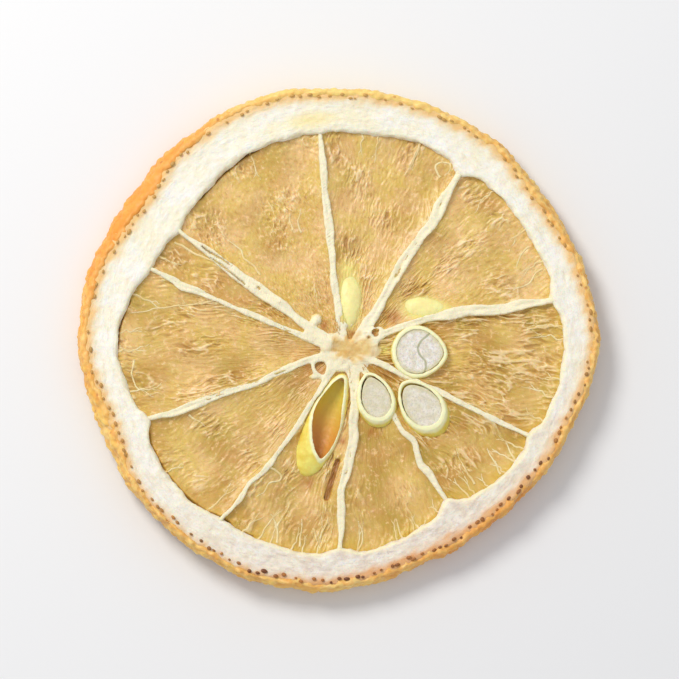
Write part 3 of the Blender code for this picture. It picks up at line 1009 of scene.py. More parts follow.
def crack_mask(flat):
    """How deep in a crack or pit each place in plan is."""
    mask = np.zeros(len(flat))
    row = MEMBRANES[CRACKED]
    for share_from, share_to, offset in CRACKS:
        share = np.linspace(share_from, share_to, 60)
        line = middle_line(row, share)
        aside = offset * width_along(row, share) + membrane_wander(CRACKED, share)
        line = line + sideways(np.gradient(line, axis=0)) * aside[:, None]
        off = np.linalg.norm(flat[:, None] - line[None], axis=2)
        width = CRACK_WIDTH * (1.1 - np.abs(np.linspace(-1, 1, 60)) ** 3)  # it narrows at its ends
        mask = np.maximum(mask, (1 - smooth_step(off / width, 0.3, 0.8)).max(axis=1))
    for middle, radius, depth in PITS:
        off = np.linalg.norm(flat - np.array(middle) * MM, axis=1)
        mask = np.maximum(mask, depth * (1 - smooth_step(off, radius * 0.4 * MM, radius * MM)))
    return mask


places = read_places(web)
groove = skin_groove(places[:, :2])
# only the places near a crack or pit are measured, or it would take long
cracked = np.zeros(len(places))
near_crack = (places[:, 0] < 5 * MM) & (places[:, 1] > -3 * MM) & (places[:, 1] < 11 * MM)
cracked[near_crack] = crack_mask(places[near_crack, :2])
upper = smooth_step(level_of(places), PULP_TOP, MEMBRANE_TOP)
places[:, 2] -= (GROOVE_DEPTH * groove + CRACK_DEPTH * cracked) * upper
write_places(web, places)
# the crack mask paints the cracks and pits dark brown, as shade
write_masks(web, groove=groove * upper, crack=cracked * upper)
roughen(web, ("web_dents", 0.20, 1.3, 2), ("web_grain", 0.11, 0.4, 3))


def finish_pith(piece, creamy):
    places = read_places(piece)
    angle, radius = ring_angle_and_radius(places)
    rind_edge = wall_radius(angle, 0) - RIND_THICKNESS - 0.18 * MM * bump(angle, 295, 22)
    rind_edge = rind_edge + 0.5 * MM * bump(angle, 235, 26)
    ragged = 0.22 * MM * waves_over(places, 1.1, 9)
    level = level_of(places)
    from_pulp = radius - pith_inner_radius(angle)
    flank = 1 - smooth_step(level, PULP_TOP + 0.05 * MM, PULP_TOP + 0.5 * MM)
    flank = flank * smooth_step(level, MEMBRANE_BOTTOM + 0.05 * MM, PULP_BOTTOM)
    lip = bump(from_pulp, 0.1 * MM, 0.25 * MM) * smooth_step(level, 2.9 * MM, 3.3 * MM)
    arms = sum(bump(core_angle_of(places), row.at_core, 8) for row in MEMBRANES)
    from_tan = np.hypot(*((places[:, :2] - TAN_MIDDLE) / TAN_REACH).T) + 0.26 * np.minimum(1, arms)
    from_tan = from_tan + 0.16 * waves_over(places, 1.3, 8)
    write_masks(
        piece,
        by_rind=smooth_step(radius - rind_edge + ragged, -1.3 * MM, 0.15 * MM),
        yellow_stain=bump(angle, 98, 9) * bump(radius, 23 * MM, 0.8 * MM),
        shaded=bump(angle, 285, 65),
        cream=creamy,
        by_pulp=(1 - smooth_step(from_pulp, -0.3 * MM, 0.5 * MM)) * flank,
        lip=lip * (0.6 + 0.4 * bump(angle, 290, 70)),
        core=1 - smooth_step(from_tan, 0.6, 1.12),
    )
    finish_piece(piece, pith)


angle, radius = ring_angle_and_radius(read_places(rim))
write_fibre_places(rim, radius, *(direction(angle) * OUTER_RADIUS).T)
reach = read_places(web)[:, :2] - CORE_CENTRE
distance = np.linalg.norm(reach, axis=1)
write_fibre_places(web, np.arctan2(reach[:, 1], reach[:, 0]) * distance, distance, distance * 0)
finish_pith(rim, creamy=0.0)
finish_pith(web, creamy=1.0)
print("rim, membranes and core:", [len(piece.data.polygons) for piece in (rim, web)], "faces")

# %% [markdown]
# ## The rind
#
# The rind is a thin band round the rim. Seen from above it is a narrow orange line that widens at the
# left, where the wall slopes, because the slice was cut nearer the fruit's end than its middle. It is
# spun like the rim, from a finer circle, and its pebbles are real relief: a cell pattern raised in the
# middle of each cell.

# %% The rind, spun
RIND_CORNERS, RIND_STEPS = 64, 1150
rind = spun_ring("rind", RIND_CORNERS, RIND_STEPS)
angle, across, up = section_of(
    rind, RIND_CORNERS, outer_roundness=0.5, inner_roundness=0.25, width=RIND_THICKNESS, height=RIM_TOP,
)
arc = np.radians(angle) * OUTER_RADIUS
uneven = 0.09 * MM * waves(arc, 0, 2.4 * MM, 21) + 0.08 * MM * waves(arc, up * RIM_TOP, 0.9 * MM, 22)
thick = RIND_THICKNESS * (0.85 + 0.18 * waves(arc, 0, 3.1 * MM, 23) - 0.28 * bump(angle, 235, 26))
outer_face = wall_radius(angle, 1 - up) - 0.06 * MM + uneven
edge_wave = 0.09 * MM * waves(arc, 0, 1.9 * MM, 24)
height = 0.12 * MM + (RIM_TOP - 0.12 * MM) * up + edge_wave * up - 0.14 * MM * (1 - across) * up
radius = outer_face - thick * (1 - across)
write_places(rind, place_round(angle, radius, height))
write_fibre_places(rind, radius, *(direction(angle) * OUTER_RADIUS).T)
before = read_places(rind)
pebbles = cells("pebbles", 0.95 * MM, (1, 0), ((0.0, 1.0), (0.35, 0.75), (0.75, 0.25), (1.0, 0.0)))
relief(rind, pebbles, 0.30 * MM)
roughen(rind, ("crinkle", 0.12, 0.5, 3))
angle, radius = ring_angle_and_radius(before)
moved = np.linalg.norm(read_places(rind)[:, :2] - RING_CENTRE, axis=1) - radius
write_masks(
    rind,
    # painted shade: the deeper a point sank, the darker its orange
    hollow=0.5 - moved / (0.2 * MM),
    cut_edge=smooth_step(level_of(before), RIM_TOP - 0.35 * MM, RIM_TOP),
    # painted shade at the lower right; at the upper left it deepens the orange of the wide slope
    shaded=0.6 * bump(angle, 308, 22) + 1.0 * bump(angle, 145, 32),
    yellow=bump(angle, 88, 26),
)
finish_piece(rind, rind_skin)
print("rind:", len(rind.data.polygons), "faces")

# %% [markdown]
# ## Where the pips lie
#
# The knife went through four pips and missed two, which lie under the pulp's skin. The pulp is modelled
# round them, so their places come first. A pip is an egg with a blunt and a narrow end. Its heading is
# the way its blunt end points, and the dip is how far that end goes down into the slice.

# %% The pips' places and sizes
Pip = namedtuple("Pip", "middle length width height heading dip level taper")


def pip_place(middle, size, heading, dip=0, level=2.5, taper=0.12):
    """Millimetres and degrees. The dip lowers the far end, and the taper narrows both ends."""
    length, width, height = np.array(size) * MM
    return Pip(np.array(middle) * MM, length, width, height, heading, dip, level * MM, taper)


PIPS = {
    "round": pip_place((8.25, -1.35), (6.0, 5.6, 4.2), 176),
    "long": pip_place((8.65, -7.2), (7.4, 4.7, 3.6), 310, dip=20),
    "small": pip_place((3.7, -6.35), (6.1, 4.1, 3.6), 288, dip=17),
    "empty": pip_place((-1.7, -8.95), (11.5, 3.9, 3.0), 248.5, dip=3, level=2.2, taper=0.02),
    "upper": pip_place((1.0, 3.9), (6.0, 2.6, 1.9), 90, dip=3, level=2.05),
    "side": pip_place((9.0, 3.15), (5.2, 2.6, 1.9), 176, level=2.0),
}
CUT_PIPS, BURIED = ("round", "long", "small", "empty"), ("upper", "side")
EMPTY_OPENING = (  # mm, round the pointed mouth of the pip that has lost its kernel
    (0.45, -4.1), (0.3, -6.0), (0.1, -7.5), (0.02, -9.0), (-0.45, -10.5), (-1.15, -11.7), (-2.05, -12.65),
    (-2.6, -11.7), (-2.9, -10.5), (-2.97, -9.0), (-2.75, -7.5), (-2.1, -6.25), (-1.0, -4.85), (-0.1, -4.1),
)
PIP_CUT = 3.25 * MM
HULL_WALL, KERNEL_TOP = 0.30 * MM, 3.12 * MM
PIP_POINT = 0.16  # how much narrower the near end is
PIP_HOLE = 0.88  # the pulp's hole round a cut pip, as a share of the pip
PIP_VOXEL = 0.09 * MM


def pip_reach(pip, flat, shrink=0.0, moved=(0, 0)):
    """How far out of a pip's middle places in plan lie: 1 is its outline."""
    place = PIPS[pip]
    ahead = direction(place.heading)
    offset = flat - place.middle - moved
    along = offset @ ahead / (place.length / 2 - shrink)
    aside = offset @ (-ahead[1], ahead[0]) / (place.width / 2 - shrink)
    return np.hypot(along, aside / np.maximum(0.4, 1 + PIP_POINT * along - place.taper * along**2))


def nearest_pip_reach(pips, flat):
    return np.min([pip_reach(pip, flat) for pip in pips], axis=0)


# %% [markdown]
# ## The pulp
#
# One function makes a segment, and a loop calls it for the ten gaps between the membranes. A segment
# starts as a grid with a UV map. Its points are moved so that one side of the grid lies along one
# membrane, the other side along the next, and the far end along the pith. A second UV map, "sacs",
# measures the segment in juice sacs: a little over a millimetre across, and two to five along, so that a
# round pattern comes out as wrinkles that point at the core.
#
# Each segment wrinkled in its own way, the ones on the right most of all, and only in patches. So the
# relief is made at full strength with Displace modifiers, and then scaled down between the patches.

# %% What differs from segment to segment
Segment = namedtuple("Segment", "wrinkled amber veins sac_length")  # the length is in mm
SEGMENTS = [  # in the order of the membranes
    Segment(0.40, 0.12, 3, 3.4), Segment(0.45, 0.05, 3, 3.2), Segment(0.40, 0.12, 1, 1.8),
    Segment(0.45, 0.30, 1, 3.0), Segment(0.65, 0.30, 4, 4.2), Segment(0.35, 0.36, 2, 3.6),
    Segment(0.50, 0.38, 6, 4.4), Segment(0.35, 0.50, 4, 4.6), Segment(0.75, 0.56, 6, 4.6),
    Segment(1.00, 0.56, 5, 4.6),
]
PITH_GAPS = ((125, 14), (178, 7), (228, 21))  # (middle, spread in degrees) of where pulp parted from pith
# mostly dried juice; the last, round the empty pip's tip, is painted shadow
STAINS_AND_SHADOW = (  # (middle, spread) in mm, brown
    ((5.4, 2.4), 0.9), ((-3.6, -2.4), 0.8), ((-1.9, -3.4), 0.65), ((3.6, 0.45), 0.35), ((2.6, -3.9), 0.55),
    ((5.2, -3.2), 0.7), ((3.5, -9.7), 0.65), ((0.3, -10.6), 0.4), ((-1.5, 1.3), 0.65), ((1.2, 0.6), 0.4),
    ((-3.4, -14.9), 0.7),
)
YELLOW_JUICE = (((4.6, -1.1), 0.7), ((0.8, 7.2), 0.9))  # (middle, spread) in mm
SLIT_FROM, SLIT_TO, SLIT_WIDTH = np.array((-0.25, -12.7)) * MM, np.array((-1.4, -16.5)) * MM, 0.6 * MM


def spots(flat, rows):
    """How near round spots each place in plan is."""
    near = 0
    for middle, spread in rows:
        off = flat - np.array(middle) * MM
        near = near + np.exp(-((off**2).sum(axis=1) / (spread * MM) ** 2))
    return near


def slit_mask(flat):
    line = SLIT_TO - SLIT_FROM
    share = np.clip((flat - SLIT_FROM) @ line / (line @ line), 0, 1)
    off = np.linalg.norm(flat - SLIT_FROM - share[:, None] * line, axis=1)
    return 1 - smooth_step(off, SLIT_WIDTH * 0.3, SLIT_WIDTH * 0.6)


# %% One segment
GRAIN = 0.1 * MM  # the distance between the grid's points at the pith
CORE_END, LENGTH_SHARE = -0.06, 1.075  # the grid starts in the core and ends in the pith
SAC_WIDTH = 1.3 * MM
PULP_SAG = 0.2 * MM
FILM_THICKNESS = PULP_TOP - PULP_BOTTOM - 2 * PULP_SAG
SAC_LAYERS = (  # (texture, strength, the level that stays where it is)
    (cells("sac_walls", 2.0, (-1, 1), ((0.0, 1.0), (0.03, 0.5), (0.08, 0.1), (0.3, 0.0))), 0.16 * MM, 0.1),
    (ridges("wrinkles", 0.9, 2), 0.20 * MM, 0.35),
    (clouds("crumple", 1.3, 3), 0.30 * MM, 0.5),
)


def fading(distance, start, spread):
    """1 up to a start, then fading to 0 over a few spreads. Start and spread are in mm."""
    return np.exp(-np.maximum(0, distance - start * MM) / (spread * MM))


def open_pip_holes(piece, flat):
    """Takes out the film where a cut pip stands in it."""
    inside = nearest_pip_reach(CUT_PIPS, flat) < PIP_HOLE
    faces = np.array([inside[polygon.vertices[0]] for polygon in piece.data.polygons])
    if not faces.any():
        return
    edit(piece, "DESELECT")
    bpy.ops.mesh.select_mode(type="FACE")
    leave_edit()
    piece.data.polygons.foreach_set("select", faces)
    edit(piece, None)
    bpy.ops.mesh.delete(type="FACE")
    leave_edit()


def segment(index):
    first, second = membranes_beside(index)
    look = SEGMENTS[index]
    width = math.radians(second.at_pith - first.at_pith) * PITH_INNER_RADIUS
    length = PITH_INNER_RADIUS - CORE_WIDTH / 2
    bpy.ops.mesh.primitive_grid_add(
        x_subdivisions=round(width / GRAIN), y_subdivisions=round(length / GRAIN), size=1, calc_uvs=True,
    )
    piece = new_piece(f"pulp_{index + 1}")
    places = read_places(piece)
    u, v = 0.5 - places[:, 0], places[:, 1] + 0.5
    v = CORE_END + v * LENGTH_SHARE
    flat = segment_plan(index, u, v)
    angle, _ = ring_angle_and_radius(flat)
    gap = np.linalg.norm(segment_plan(index, u * 0 + 1, v) - segment_plan(index, u * 0, v), axis=1)
    to_wall = np.minimum(u, 1 - u) * gap
    to_pith = np.abs(1 - v) * length

    # the film sags in the middle, climbs at the walls and swells over a buried pip
    bowl = np.sin(np.pi * np.clip(v, 0, 1)) * (1 - np.abs(2 * u - 1))
    parted = sum(bump(angle, middle, spread) for middle, spread in PITH_GAPS)
    parted = smooth_step(parted + 0.25 * waves_over(flat, 2, 92), 0.35, 0.75)
    parted = parted * (1 - smooth_step(to_pith, 0.02 * MM, 0.20 * MM))
    slit = slit_mask(flat)
    over_pip = 1 - smooth_step(nearest_pip_reach(BURIED, flat), 0.65, 1.35)
    dip = 0.10 * MM * fading(to_pith, 0.3, 0.3) * (0.5 + 0.5 * waves_over(flat, 3, 90))
    cove = 0.34 * MM * fading(to_wall, 0.35, 0.5)
    climb = 0.3 * MM * fading(to_pith, 0.3, 0.9) * (1 - parted)
    flow = PULP_TOP - PULP_SAG * bowl - dip + 0.10 * MM * waves_over(flat, 4, 91)
    flow = flow + np.maximum(cove, climb) + 0.15 * MM * over_pip
    flow = flow - 0.30 * MM * np.maximum(parted, slit) + lift(*flat.T)
    write_places(piece, np.column_stack((flat, flow)))

    # the map of the sacs, and their relief at full strength
    fan = 0.35 * waves_over(flat, 6, 100 + index)
    swirl = 0.10 * waves_over(flat, 2.2, 140 + index)
    across = (u - 0.5) * np.sqrt(gap * width) / SAC_WIDTH + fan + swirl + 10 * index
    along = v * length / (look.sac_length * MM) + 0.2 * fan + 0.3 * swirl
    layer = piece.data.uv_layers.new(name="sacs")
    corners = np.empty(len(piece.data.loops), dtype=np.int32)
    piece.data.loops.foreach_get("vertex_index", corners)
    layer.data.foreach_set("uv", np.column_stack((across, along))[corners].ravel())
    for texture, strength, middle in SAC_LAYERS:
        relief(piece, texture, strength, "UV", middle, "Z")
        piece.modifiers[-1].uv_layer = "sacs"
    apply_all(piece)

    # the relief scaled down between the patches
    places = read_places(piece)
    from_core = core_reach(flat)
    patch = smooth_step(waves_over(flat, 4.5, 120 + index) + 1.2 * (look.wrinkled - 0.5), -0.3, 0.9)
    patch = np.minimum(1, patch + 0.25 * np.exp(-((from_core / 2.2) ** 2)))
    ruffled = (0.22 + 0.78 * patch * (0.5 + 0.5 * look.wrinkled)) * (1 - 0.7 * over_pip)
    raised = (places[:, 2] - flow) * ruffled
    places[:, 2] = flow + raised
    write_places(piece, places)

    beside_core = 0.45 * np.exp(-np.maximum(0, from_core - 1) / 0.4)
    # dried juice, and painted shadow round the empty pip's tip
    stained = np.maximum(spots(flat, STAINS_AND_SHADOW), beside_core) * (0.8 + 0.4 * waves_over(flat, 1.2, 93))
    juice = spots(flat, YELLOW_JUICE)
    # painted shade along the membranes and the pith, added to the amber
    wall_shade = 0.15 * np.exp(-np.minimum(to_wall, to_pith) / (0.5 * MM))
    near_pith = np.exp(-to_pith / (1.3 * MM)) * bump(angle, 300, 85)
    write_masks(
        piece,
        # crests are painted pale as highlight, furrows brown as shade
        relief=0.4 + raised / (0.30 * MM),
        ruffled=ruffled,
        amber=look.amber + 0.45 * waves_over(flat, 5, 94) + wall_shade,
        # painted shade where the pulp parted from the pith, and half strength in the slit
        gap=np.maximum(parted, 0.5 * slit),
        over_pip=np.maximum(over_pip, juice),
        stained=np.maximum(stained * (1 - 0.8 * juice), slit),
        golden=near_pith * (0.9 + 0.5 * waves_over(flat, 2.5, 95)) + 0.35 * look.amber,
    )
    open_pip_holes(piece, flat)
    extrude_closed(piece, -FILM_THICKNESS)
    finish_piece(piece, pulp)
    return piece


segments = [segment(index) for index in range(len(MEMBRANES))]
print("pulp segments:", len(segments), "with", sum(len(piece.data.polygons) for piece in segments), "faces")

# %% [markdown]
# ## The pips
#
# The hull is the pip's egg, emptied by a Solidify modifier that leaves its wall, cut level, and fused so
# that its rim is soft. Where the egg dips, the cut leaves its far end whole, and the yellow outside of
# the shell shows there. The pip that lost its kernel opened along one side, so its mouth is drawn from
# points, extruded and cut out. The kernel is a smaller egg, cut a little lower.

# %% Eggs
CUT_SNAP = 0.0001 * MM  # the operator's own, 0.1 mm, would pull points of so small a shape onto the cut


def egg(name, pip, shrink=0.0, moved=(0, 0)):
    place = PIPS[pip]
    x, y = place.middle
    bpy.ops.mesh.primitive_uv_sphere_add(segments=72, ring_count=36, radius=1)
    piece = new_piece(name)
    places = read_places(piece)
    places[:, 1] *= 1 + PIP_POINT * places[:, 0] - place.taper * places[:, 0] ** 2
    write_places(piece, places)
    piece.scale = [size / 2 - shrink for size in (place.length, place.width, place.height)]
    piece.rotation_euler = (0, math.radians(place.dip), math.radians(place.heading))
    piece.location = (x + moved[0], y + moved[1], place.level + float(lift(x, y)))
    pick(piece)
    bpy.ops.object.transform_apply(location=True, rotation=True, scale=True)
    return piece


def cut_with(piece, blade):
    add_modifier(piece, "BOOLEAN", operation="DIFFERENCE", object=blade)
    apply_all(piece)
    bpy.data.objects.remove(blade)


def cut_level(piece, height, walled=False):
    """Cuts away all that is above a height. A solid's cut is closed, and a shell's wall is."""
    edit(piece)
    bpy.ops.mesh.bisect(
        plane_co=(0, 0, height), plane_no=(0, 0, 1), threshold=CUT_SNAP,
        clear_outer=True, use_fill=not walled,
    )
    if walled:
        bpy.ops.mesh.bridge_edge_loops()
    leave_edit()


def distance_to(places, line):
    """How far, in plan, each place is from the nearest point of a line."""
    return np.linalg.norm(places[:, None, :2] - line[None], axis=2).min(axis=1)


# %% Hulls
def mouth_line(count):
    """Places round the empty pip's mouth, with softened corners."""
    closed = np.array(EMPTY_OPENING + EMPTY_OPENING[:1]) * MM
    knots = np.linspace(0, 1, len(closed))
    even = np.linspace(0, 1, count, endpoint=False)
    ahead = np.column_stack([np.interp(even, knots, closed[:, axis]) for axis in (0, 1)])
    return (np.roll(ahead, 1, axis=0) + ahead + np.roll(ahead, -1, axis=0)) / 3


def mouth_blade():
    mouth = mouth_line(56)
    bpy.ops.mesh.primitive_circle_add(vertices=len(mouth), radius=1, fill_type="NGON")
    piece = new_piece("mouth_blade")
    write_places(piece, np.column_stack((mouth[::-1], np.full(len(mouth), PIPS["empty"].level + 0.2 * MM))))
    extrude_closed(piece, 3 * MM)
    return piece


def hull(pip):
    piece = egg(f"pip_hull_{pip}", pip)
    place = PIPS[pip]
    top = PIP_CUT + float(lift(*place.middle))
    add_modifier(piece, "SOLIDIFY", thickness=HULL_WALL, offset=-1, use_even_offset=True)
    apply_all(piece)
    cut_level(piece, top, walled=True)
    if pip == "empty":
        cut_with(piece, mouth_blade())
    fuse(piece, PIP_VOXEL, 2)
    roughen(piece, ("hull_ridges", 0.10, 0.7, 2))
    places = read_places(piece)
    outer = egg("measure", pip)
    skin = BVHTree.FromObject(outer, bpy.context.evaluated_depsgraph_get())
    depth = np.array([skin.find_nearest(Vector(point))[3] for point in places])
    bpy.data.objects.remove(outer)
    down = top - places[:, 2]
    rim = 1 - smooth_step(down, 0.15 * MM, 0.5 * MM)
    if pip == "empty":
        to_mouth = distance_to(places, mouth_line(168))
        rim = (1 - smooth_step(to_mouth, 0.2 * MM, 0.45 * MM)) * (1 - smooth_step(down, 0.7 * MM, 1.1 * MM))
    within = smooth_step(depth, HULL_WALL * 0.55, HULL_WALL * 0.85)
    along = (places[:, :2] - place.middle) @ direction(place.heading)
    write_masks(
        piece,
        inside=within * smooth_step(down, 0.12 * MM, 0.4 * MM),
        rim=rim,
        deep=smooth_step(along, -4 * MM, 2 * MM),
    )
    finish_piece(piece, hull_skin)
    return piece


hulls = [hull(pip) for pip in CUT_PIPS]
print("hulls:", [len(piece.data.polygons) for piece in hulls])

# %% [markdown]
# The round pip's kernel shows a thin wavy line, the seam between its two seed leaves. It is a groove,
# cut by a bent blade: a narrow grid, waved and extruded, taken away with a Boolean. A dried kernel has
# shrunk from its hull, mostly on one side, so each is also moved a little way off its hull's middle.

# %% Kernels
SEAM = (  # mm, top to foot
    (9.6, 1.0), (9.1, 0.4), (8.35, -0.2), (8.0, -1.0), (8.25, -1.7), (8.85, -2.3), (8.9, -3.0), (8.6, -3.8),
)
SEAM_WIDTH = 0.1 * MM
KERNELS = {  # pip: (how far it shrank from the hull's outside, where it moved, how green it is all over)
    "round": (0.34 * MM, (-0.06 * MM, 0.07 * MM), 0),
    "long": (0.40 * MM, (0.10 * MM, -0.12 * MM), 0.4),
    "small": (0.43 * MM, (0.08 * MM, -0.11 * MM), 0.7),
}
seam_line = rounded_line(SEAM, 40)


def seam_blade():
    bpy.ops.mesh.primitive_grid_add(x_subdivisions=len(seam_line) - 1, y_subdivisions=1, size=2)
    piece = new_piece("seam_blade")
    places = read_places(piece)
    step = np.round((places[:, 0] + 1) / 2 * (len(seam_line) - 1)).astype(int)
    x, y = seam_line[step].T
    foot = np.full(len(x), KERNEL_TOP - 0.15 * MM)
    write_places(piece, np.column_stack((x + places[:, 1] * SEAM_WIDTH / 2, y, foot)))
    extrude_closed(piece, 1 * MM)
    return piece


def kernel(pip):
    shrink, moved, greenness = KERNELS[pip]
    piece = egg(f"pip_kernel_{pip}", pip, shrink, moved)
    cut_level(piece, KERNEL_TOP + float(lift(*PIPS[pip].middle)))
    if pip == "round":
        cut_with(piece, seam_blade())
    fuse(piece, PIP_VOXEL * 0.75, 1)
    roughen(piece, ("kernel_grain", 0.08, 0.5, 3))
    places = read_places(piece)
    write_masks(
        piece,
        rim=smooth_step(pip_reach(pip, places[:, :2], shrink, moved), 0.7, 0.92) + greenness,
        seam=(1 - smooth_step(distance_to(places, seam_line), 0.06 * MM, 0.17 * MM)) * (pip == "round"),
    )
    finish_piece(piece, kernel_flesh)
    return piece


kernels = [kernel(pip) for pip in KERNELS]
print("kernels:", [len(piece.data.polygons) for piece in kernels])

# %% [markdown]
# The two buried pips show as pale yellow swellings with faint dents.

# %% Buried pips
def buried(pip):
    piece = egg(f"pip_buried_{pip}", pip)
    fuse(piece, PIP_VOXEL, 2)
    roughen(piece, ("buried_dents", 0.14, 0.9, 2))
    write_masks(piece, rim=0.5, inside=0.0, deep=0.0)
    finish_piece(piece, hull_skin)
    return piece


tips = [buried(pip) for pip in BURIED]

# %% [markdown]
# ## Veins
#
# Pale veins run out of the pith into the pulp, and many fork like a Y. Each is a thin tapering curve
# that lies on the pulp, so its height is read off the finished segments by a ray straight down. The
# curves of one segment are turned into one mesh.

# %% Veins
VEIN_RADIUS = 0.11 * MM
VEIN_POINTS = 9
VEIN_START = 1.01  # the veins start just inside the pith, which lies at v = 1
STRAYS = (  # (segment, points in mm) of single long fibres
    (3, ((-17.2, 10.0), (-13.2, 7.9), (-9.5, 6.0), (-6.4, 3.6))),
    (4, ((-12.6, 3.9), (-16.0, 3.4), (-18.7, 3.2), (-21.9, 2.5))),
    (4, ((-21.3, -2.3), (-21.7, -3.6), (-21.2, -5.2), (-19.3, -6.2))),
    (2, ((-8.2, 6.6), (-10.5, 9.3), (-12.3, 10.9))),
    (1, ((10.4, 17.0), (10.0, 17.9), (10.5, 18.6), (11.3, 18.4), (11.4, 17.6), (10.9, 17.1))),
    (2, ((-3.9, 11.0), (-4.4, 12.3), (-4.0, 13.5))),
    (2, ((-4.9, 11.3), (-5.3, 12.3), (-5.2, 13.0))),
    (6, ((-6.5, -21.1), (-6.5, -19.5), (-7.25, -18.1))),
    (6, ((-6.5, -19.6), (-6.1, -19.0), (-5.75, -18.3))),
    (6, ((-4.2, -21.6), (-4.1, -20.4), (-3.8, -18.7))),
    (6, ((-7.1, -13.4), (-6.0, -14.3), (-6.9, -14.9), (-7.8, -15.6), (-8.8, -16.5))),
    (6, ((-2.9, -19.7), (-2.5, -20.8), (-2.0, -21.7))),
    (5, ((-15.6, -8.1), (-14.7, -8.5), (-14.0, -9.1))),
    (0, ((21.0, 7.4), (19.6, 5.9), (18.0, 5.1))),
    (0, ((19.7, 9.7), (18.9, 8.9), (18.3, 7.6))),
    (7, ((1.5, -22.3), (2.4, -21.2), (2.3, -20.0), (2.0, -19.2))),
    (7, ((6.7, -20.9), (6.0, -19.6), (5.9, -18.6))),
    (7, ((8.3, -20.2), (7.9, -19.2), (7.4, -18.3))),
    (7, ((8.3, -20.2), (8.7, -19.3), (9.0, -18.6))),
    (8, ((16.8, -14.1), (16.0, -12.6), (15.3, -11.2))),
    (8, ((18.3, -12.8), (17.6, -11.6), (17.2, -10.6))),
    (8, ((13.9, -15.0), (13.2, -13.8), (12.0, -11.4))),
)
depsgraph = bpy.context.evaluated_depsgraph_get()
surfaces = [BVHTree.FromObject(piece, depsgraph) for piece in segments]


def drop(surface, x, y):
    """The height of the pulp under a place."""
    hit = surface.ray_cast(Vector((x, y, 0.02)), Vector((0, 0, -1)))[0]
    return hit.z if hit else PULP_TOP


def vein_line(index, u_from, u_to, v_from, v_to, seed):
    """Points in plan along a vein, which sways a little."""
    t = np.linspace(0, 1, VEIN_POINTS)
    sway = 0.012 * waves(t * 10, 0, 5.0, seed) * np.sin(np.pi * t)
    return segment_plan(index, u_from + (u_to - u_from) * t + sway, v_from + (v_to - v_from) * t)


def segment_veins(index):
    dice = np.random.default_rng(200 + index)
    bpy.ops.curve.primitive_bezier_curve_add()
    piece = bpy.context.object
    curve = piece.data
    curve.splines.clear()
    curve.bevel_depth = VEIN_RADIUS
    curve.bevel_resolution = 2
    curve.use_fill_caps = True

    def lay(points, thick_from, thick_to):
        """A vein on the pulp, which tapers. Its thicknesses are shares of VEIN_RADIUS."""
        spline = curve.splines.new("POLY")
        spline.points.add(len(points) - 1)
        for number, (x, y) in enumerate(points):
            share = number / (len(points) - 1)
            spline.points[number].co = (x, y, drop(surfaces[index], x, y) - VEIN_RADIUS * 0.5, 1)
            spline.points[number].radius = thick_from + (thick_to - thick_from) * share

    count = SEGMENTS[index].veins
    for number in range(count):
        start = 0.08 + 0.84 * (number + dice.uniform(0.1, 0.9)) / count  # spread over the width
        reach = dice.uniform(0.10, 0.28)
        lean = dice.uniform(-0.05, 0.05)
        fork = 1 - reach * dice.uniform(0.35, 0.6)
        seed = int(dice.integers(10_000))
        middle = start + lean * 0.5
        lay(vein_line(index, start, middle, VEIN_START, fork, seed), 1.1, 0.8)
        for side in (-1, 1):
            end = middle + side * dice.uniform(0.02, 0.07) + lean
            tip = 1 - reach * dice.uniform(0.75, 1.1)
            lay(vein_line(index, middle, end, fork, tip, seed + side), 0.8, 0.3)
    for home, points in STRAYS:
        if home == index:
            line = rounded_line(points, 40)
            lay(line + 0.14 * MM * wobble(line, 1.5, 61), 1.25, 0.6)
    pick(piece)
    bpy.ops.object.convert(target="MESH")
    piece = new_piece(f"veins_{index + 1}")
    finish_piece(piece, vein_fibre)
    return piece


veins = [segment_veins(index) for index in range(len(MEMBRANES))]
print("veins:", sum(len(piece.data.polygons) for piece in veins), "faces")

# %% [markdown]
# ## Oil glands
#
# The peel's oil glands, cut through, are a row of dark dots between pith and rind, closest together at
# the lower right. One flattened ball is modelled and copied, each copy turned and sized by a seeded
# draw, and the copies are joined.

# %% Oil glands
GLAND_SPACING = 1.0 * MM
GLAND_SIZES = (0.13 * MM, 0.23 * MM)


def oil_glands():
    dice = np.random.default_rng(7)
    bpy.ops.mesh.primitive_ico_sphere_add(subdivisions=2, radius=1)
    pattern = new_piece("oil_glands")
    copies = []
    count = round(math.tau * OUTER_RADIUS / GLAND_SPACING)
    for number in range(count):
        angle = (number + dice.uniform(-0.35, 0.35)) * 360 / count
        crowded = 0.65 + 0.35 * float(bump(angle, 275, 75))
        if dice.random() > crowded:
            continue
        radius = float(wall_radius(angle, 0.0)) - RIND_THICKNESS + dice.uniform(-0.15, 0.3) * MM
        size = dice.uniform(*GLAND_SIZES) * (0.6 + 0.5 * crowded)
        x, y = RING_CENTRE + direction(angle) * radius
        copy = pattern.copy()
        copy.data = pattern.data.copy()
        bpy.context.collection.objects.link(copy)
        copy.scale = (size * dice.uniform(0.7, 1.0), size * dice.uniform(0.9, 1.6), size * 0.6)
        copy.rotation_euler = (0, 0, math.radians(angle))
        copy.location = (x, y, RIM_TOP + float(lift(x, y)) + 0.02 * MM)
        copies.append(copy)
    bpy.data.objects.remove(pattern)
    join(copies)
    piece = new_piece("oil_glands")
    angle, _ = ring_angle_and_radius(read_places(piece))
    write_masks(piece, dark=0.15 + 1.1 * bump(angle, 285, 70))
    finish_piece(piece, gland_oil)
    print("oil glands:", len(copies))
    return piece


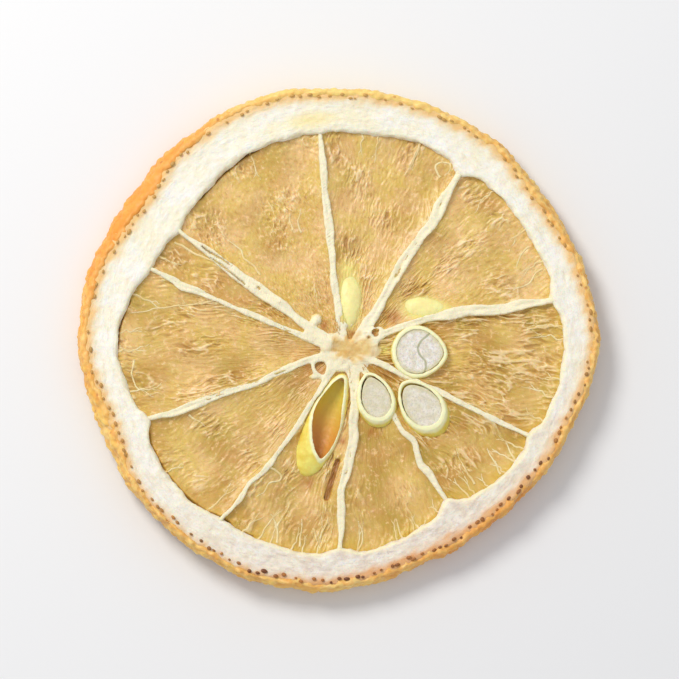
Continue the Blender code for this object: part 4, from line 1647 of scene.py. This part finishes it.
glands = oil_glands()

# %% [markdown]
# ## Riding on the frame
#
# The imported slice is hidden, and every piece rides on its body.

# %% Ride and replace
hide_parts(NODE)
finishes = {
    "pith": [rim, web, *veins],
    "rind": [rind, glands],
    "pulp": segments,
    "pip_hull": [*hulls, *tips],
    "pip_kernel": kernels,
}
for slot, pieces in finishes.items():
    for piece in pieces:
        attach(piece, BODY)

# %% [markdown]
# ## Floor, light and camera
#
# A plain pale floor, an even white surround and one large soft light from the upper left, as in the
# photograph. The camera looks almost straight down, and the slice's far side is at the top of the
# picture.

# %% Floor and lights
bpy.ops.mesh.primitive_plane_add(size=3)
floor = new_piece("floor")
floor.location.z = -0.02 * MM
floor_paint, tree, shader, places = new_material("floor", roughness=0.9)
shader.inputs["Base Color"].default_value = (0.86, 0.86, 0.86, 1)
floor.data.materials.append(floor_paint)

world = bpy.data.worlds.new("surround")
bpy.context.scene.world = world
world.use_nodes = True
surround = world.node_tree.nodes["Background"].inputs
surround["Color"].default_value = (0.93, 0.95, 1.0, 1)
surround["Strength"].default_value = 0.62

bpy.ops.object.light_add(type="AREA", location=(-0.16, 0.17, 0.26))
key = bpy.context.object
key.name = "key_light"
key.data.shape = "DISK"
key.data.size = 0.13
key.data.energy = 0.75
key.data.color = (1.0, 0.97, 0.92)
key.rotation_euler = (-Vector(key.location)).to_track_quat("-Z", "Y").to_euler()

# %% Camera
CAMERA_ELEVATION, CAMERA_TURN = 84, 225  # degrees; the turn is where it stands, measured from +X
CAMERA_DISTANCE = 0.62
FIELD = 0.0705  # metres across the picture at the slice
LOOK_AT = Vector((0.0, 0.0, 0.0017))

away = Vector((
    math.cos(math.radians(CAMERA_ELEVATION)) * math.cos(math.radians(CAMERA_TURN)),
    math.cos(math.radians(CAMERA_ELEVATION)) * math.sin(math.radians(CAMERA_TURN)),
    math.sin(math.radians(CAMERA_ELEVATION)),
))
right = Vector((0, 1, 0)).cross(away).normalized()
up = away.cross(right)
bpy.ops.object.camera_add(location=LOOK_AT + away * CAMERA_DISTANCE)
camera = bpy.context.object
camera.rotation_euler = Matrix((right, up, away)).transposed().to_euler()
camera.data.sensor_width = 36
camera.data.lens = camera.data.sensor_width * CAMERA_DISTANCE / FIELD
camera.data.clip_start = 0.01
bpy.context.scene.camera = camera
bpy.context.scene.view_settings.view_transform = "Standard"
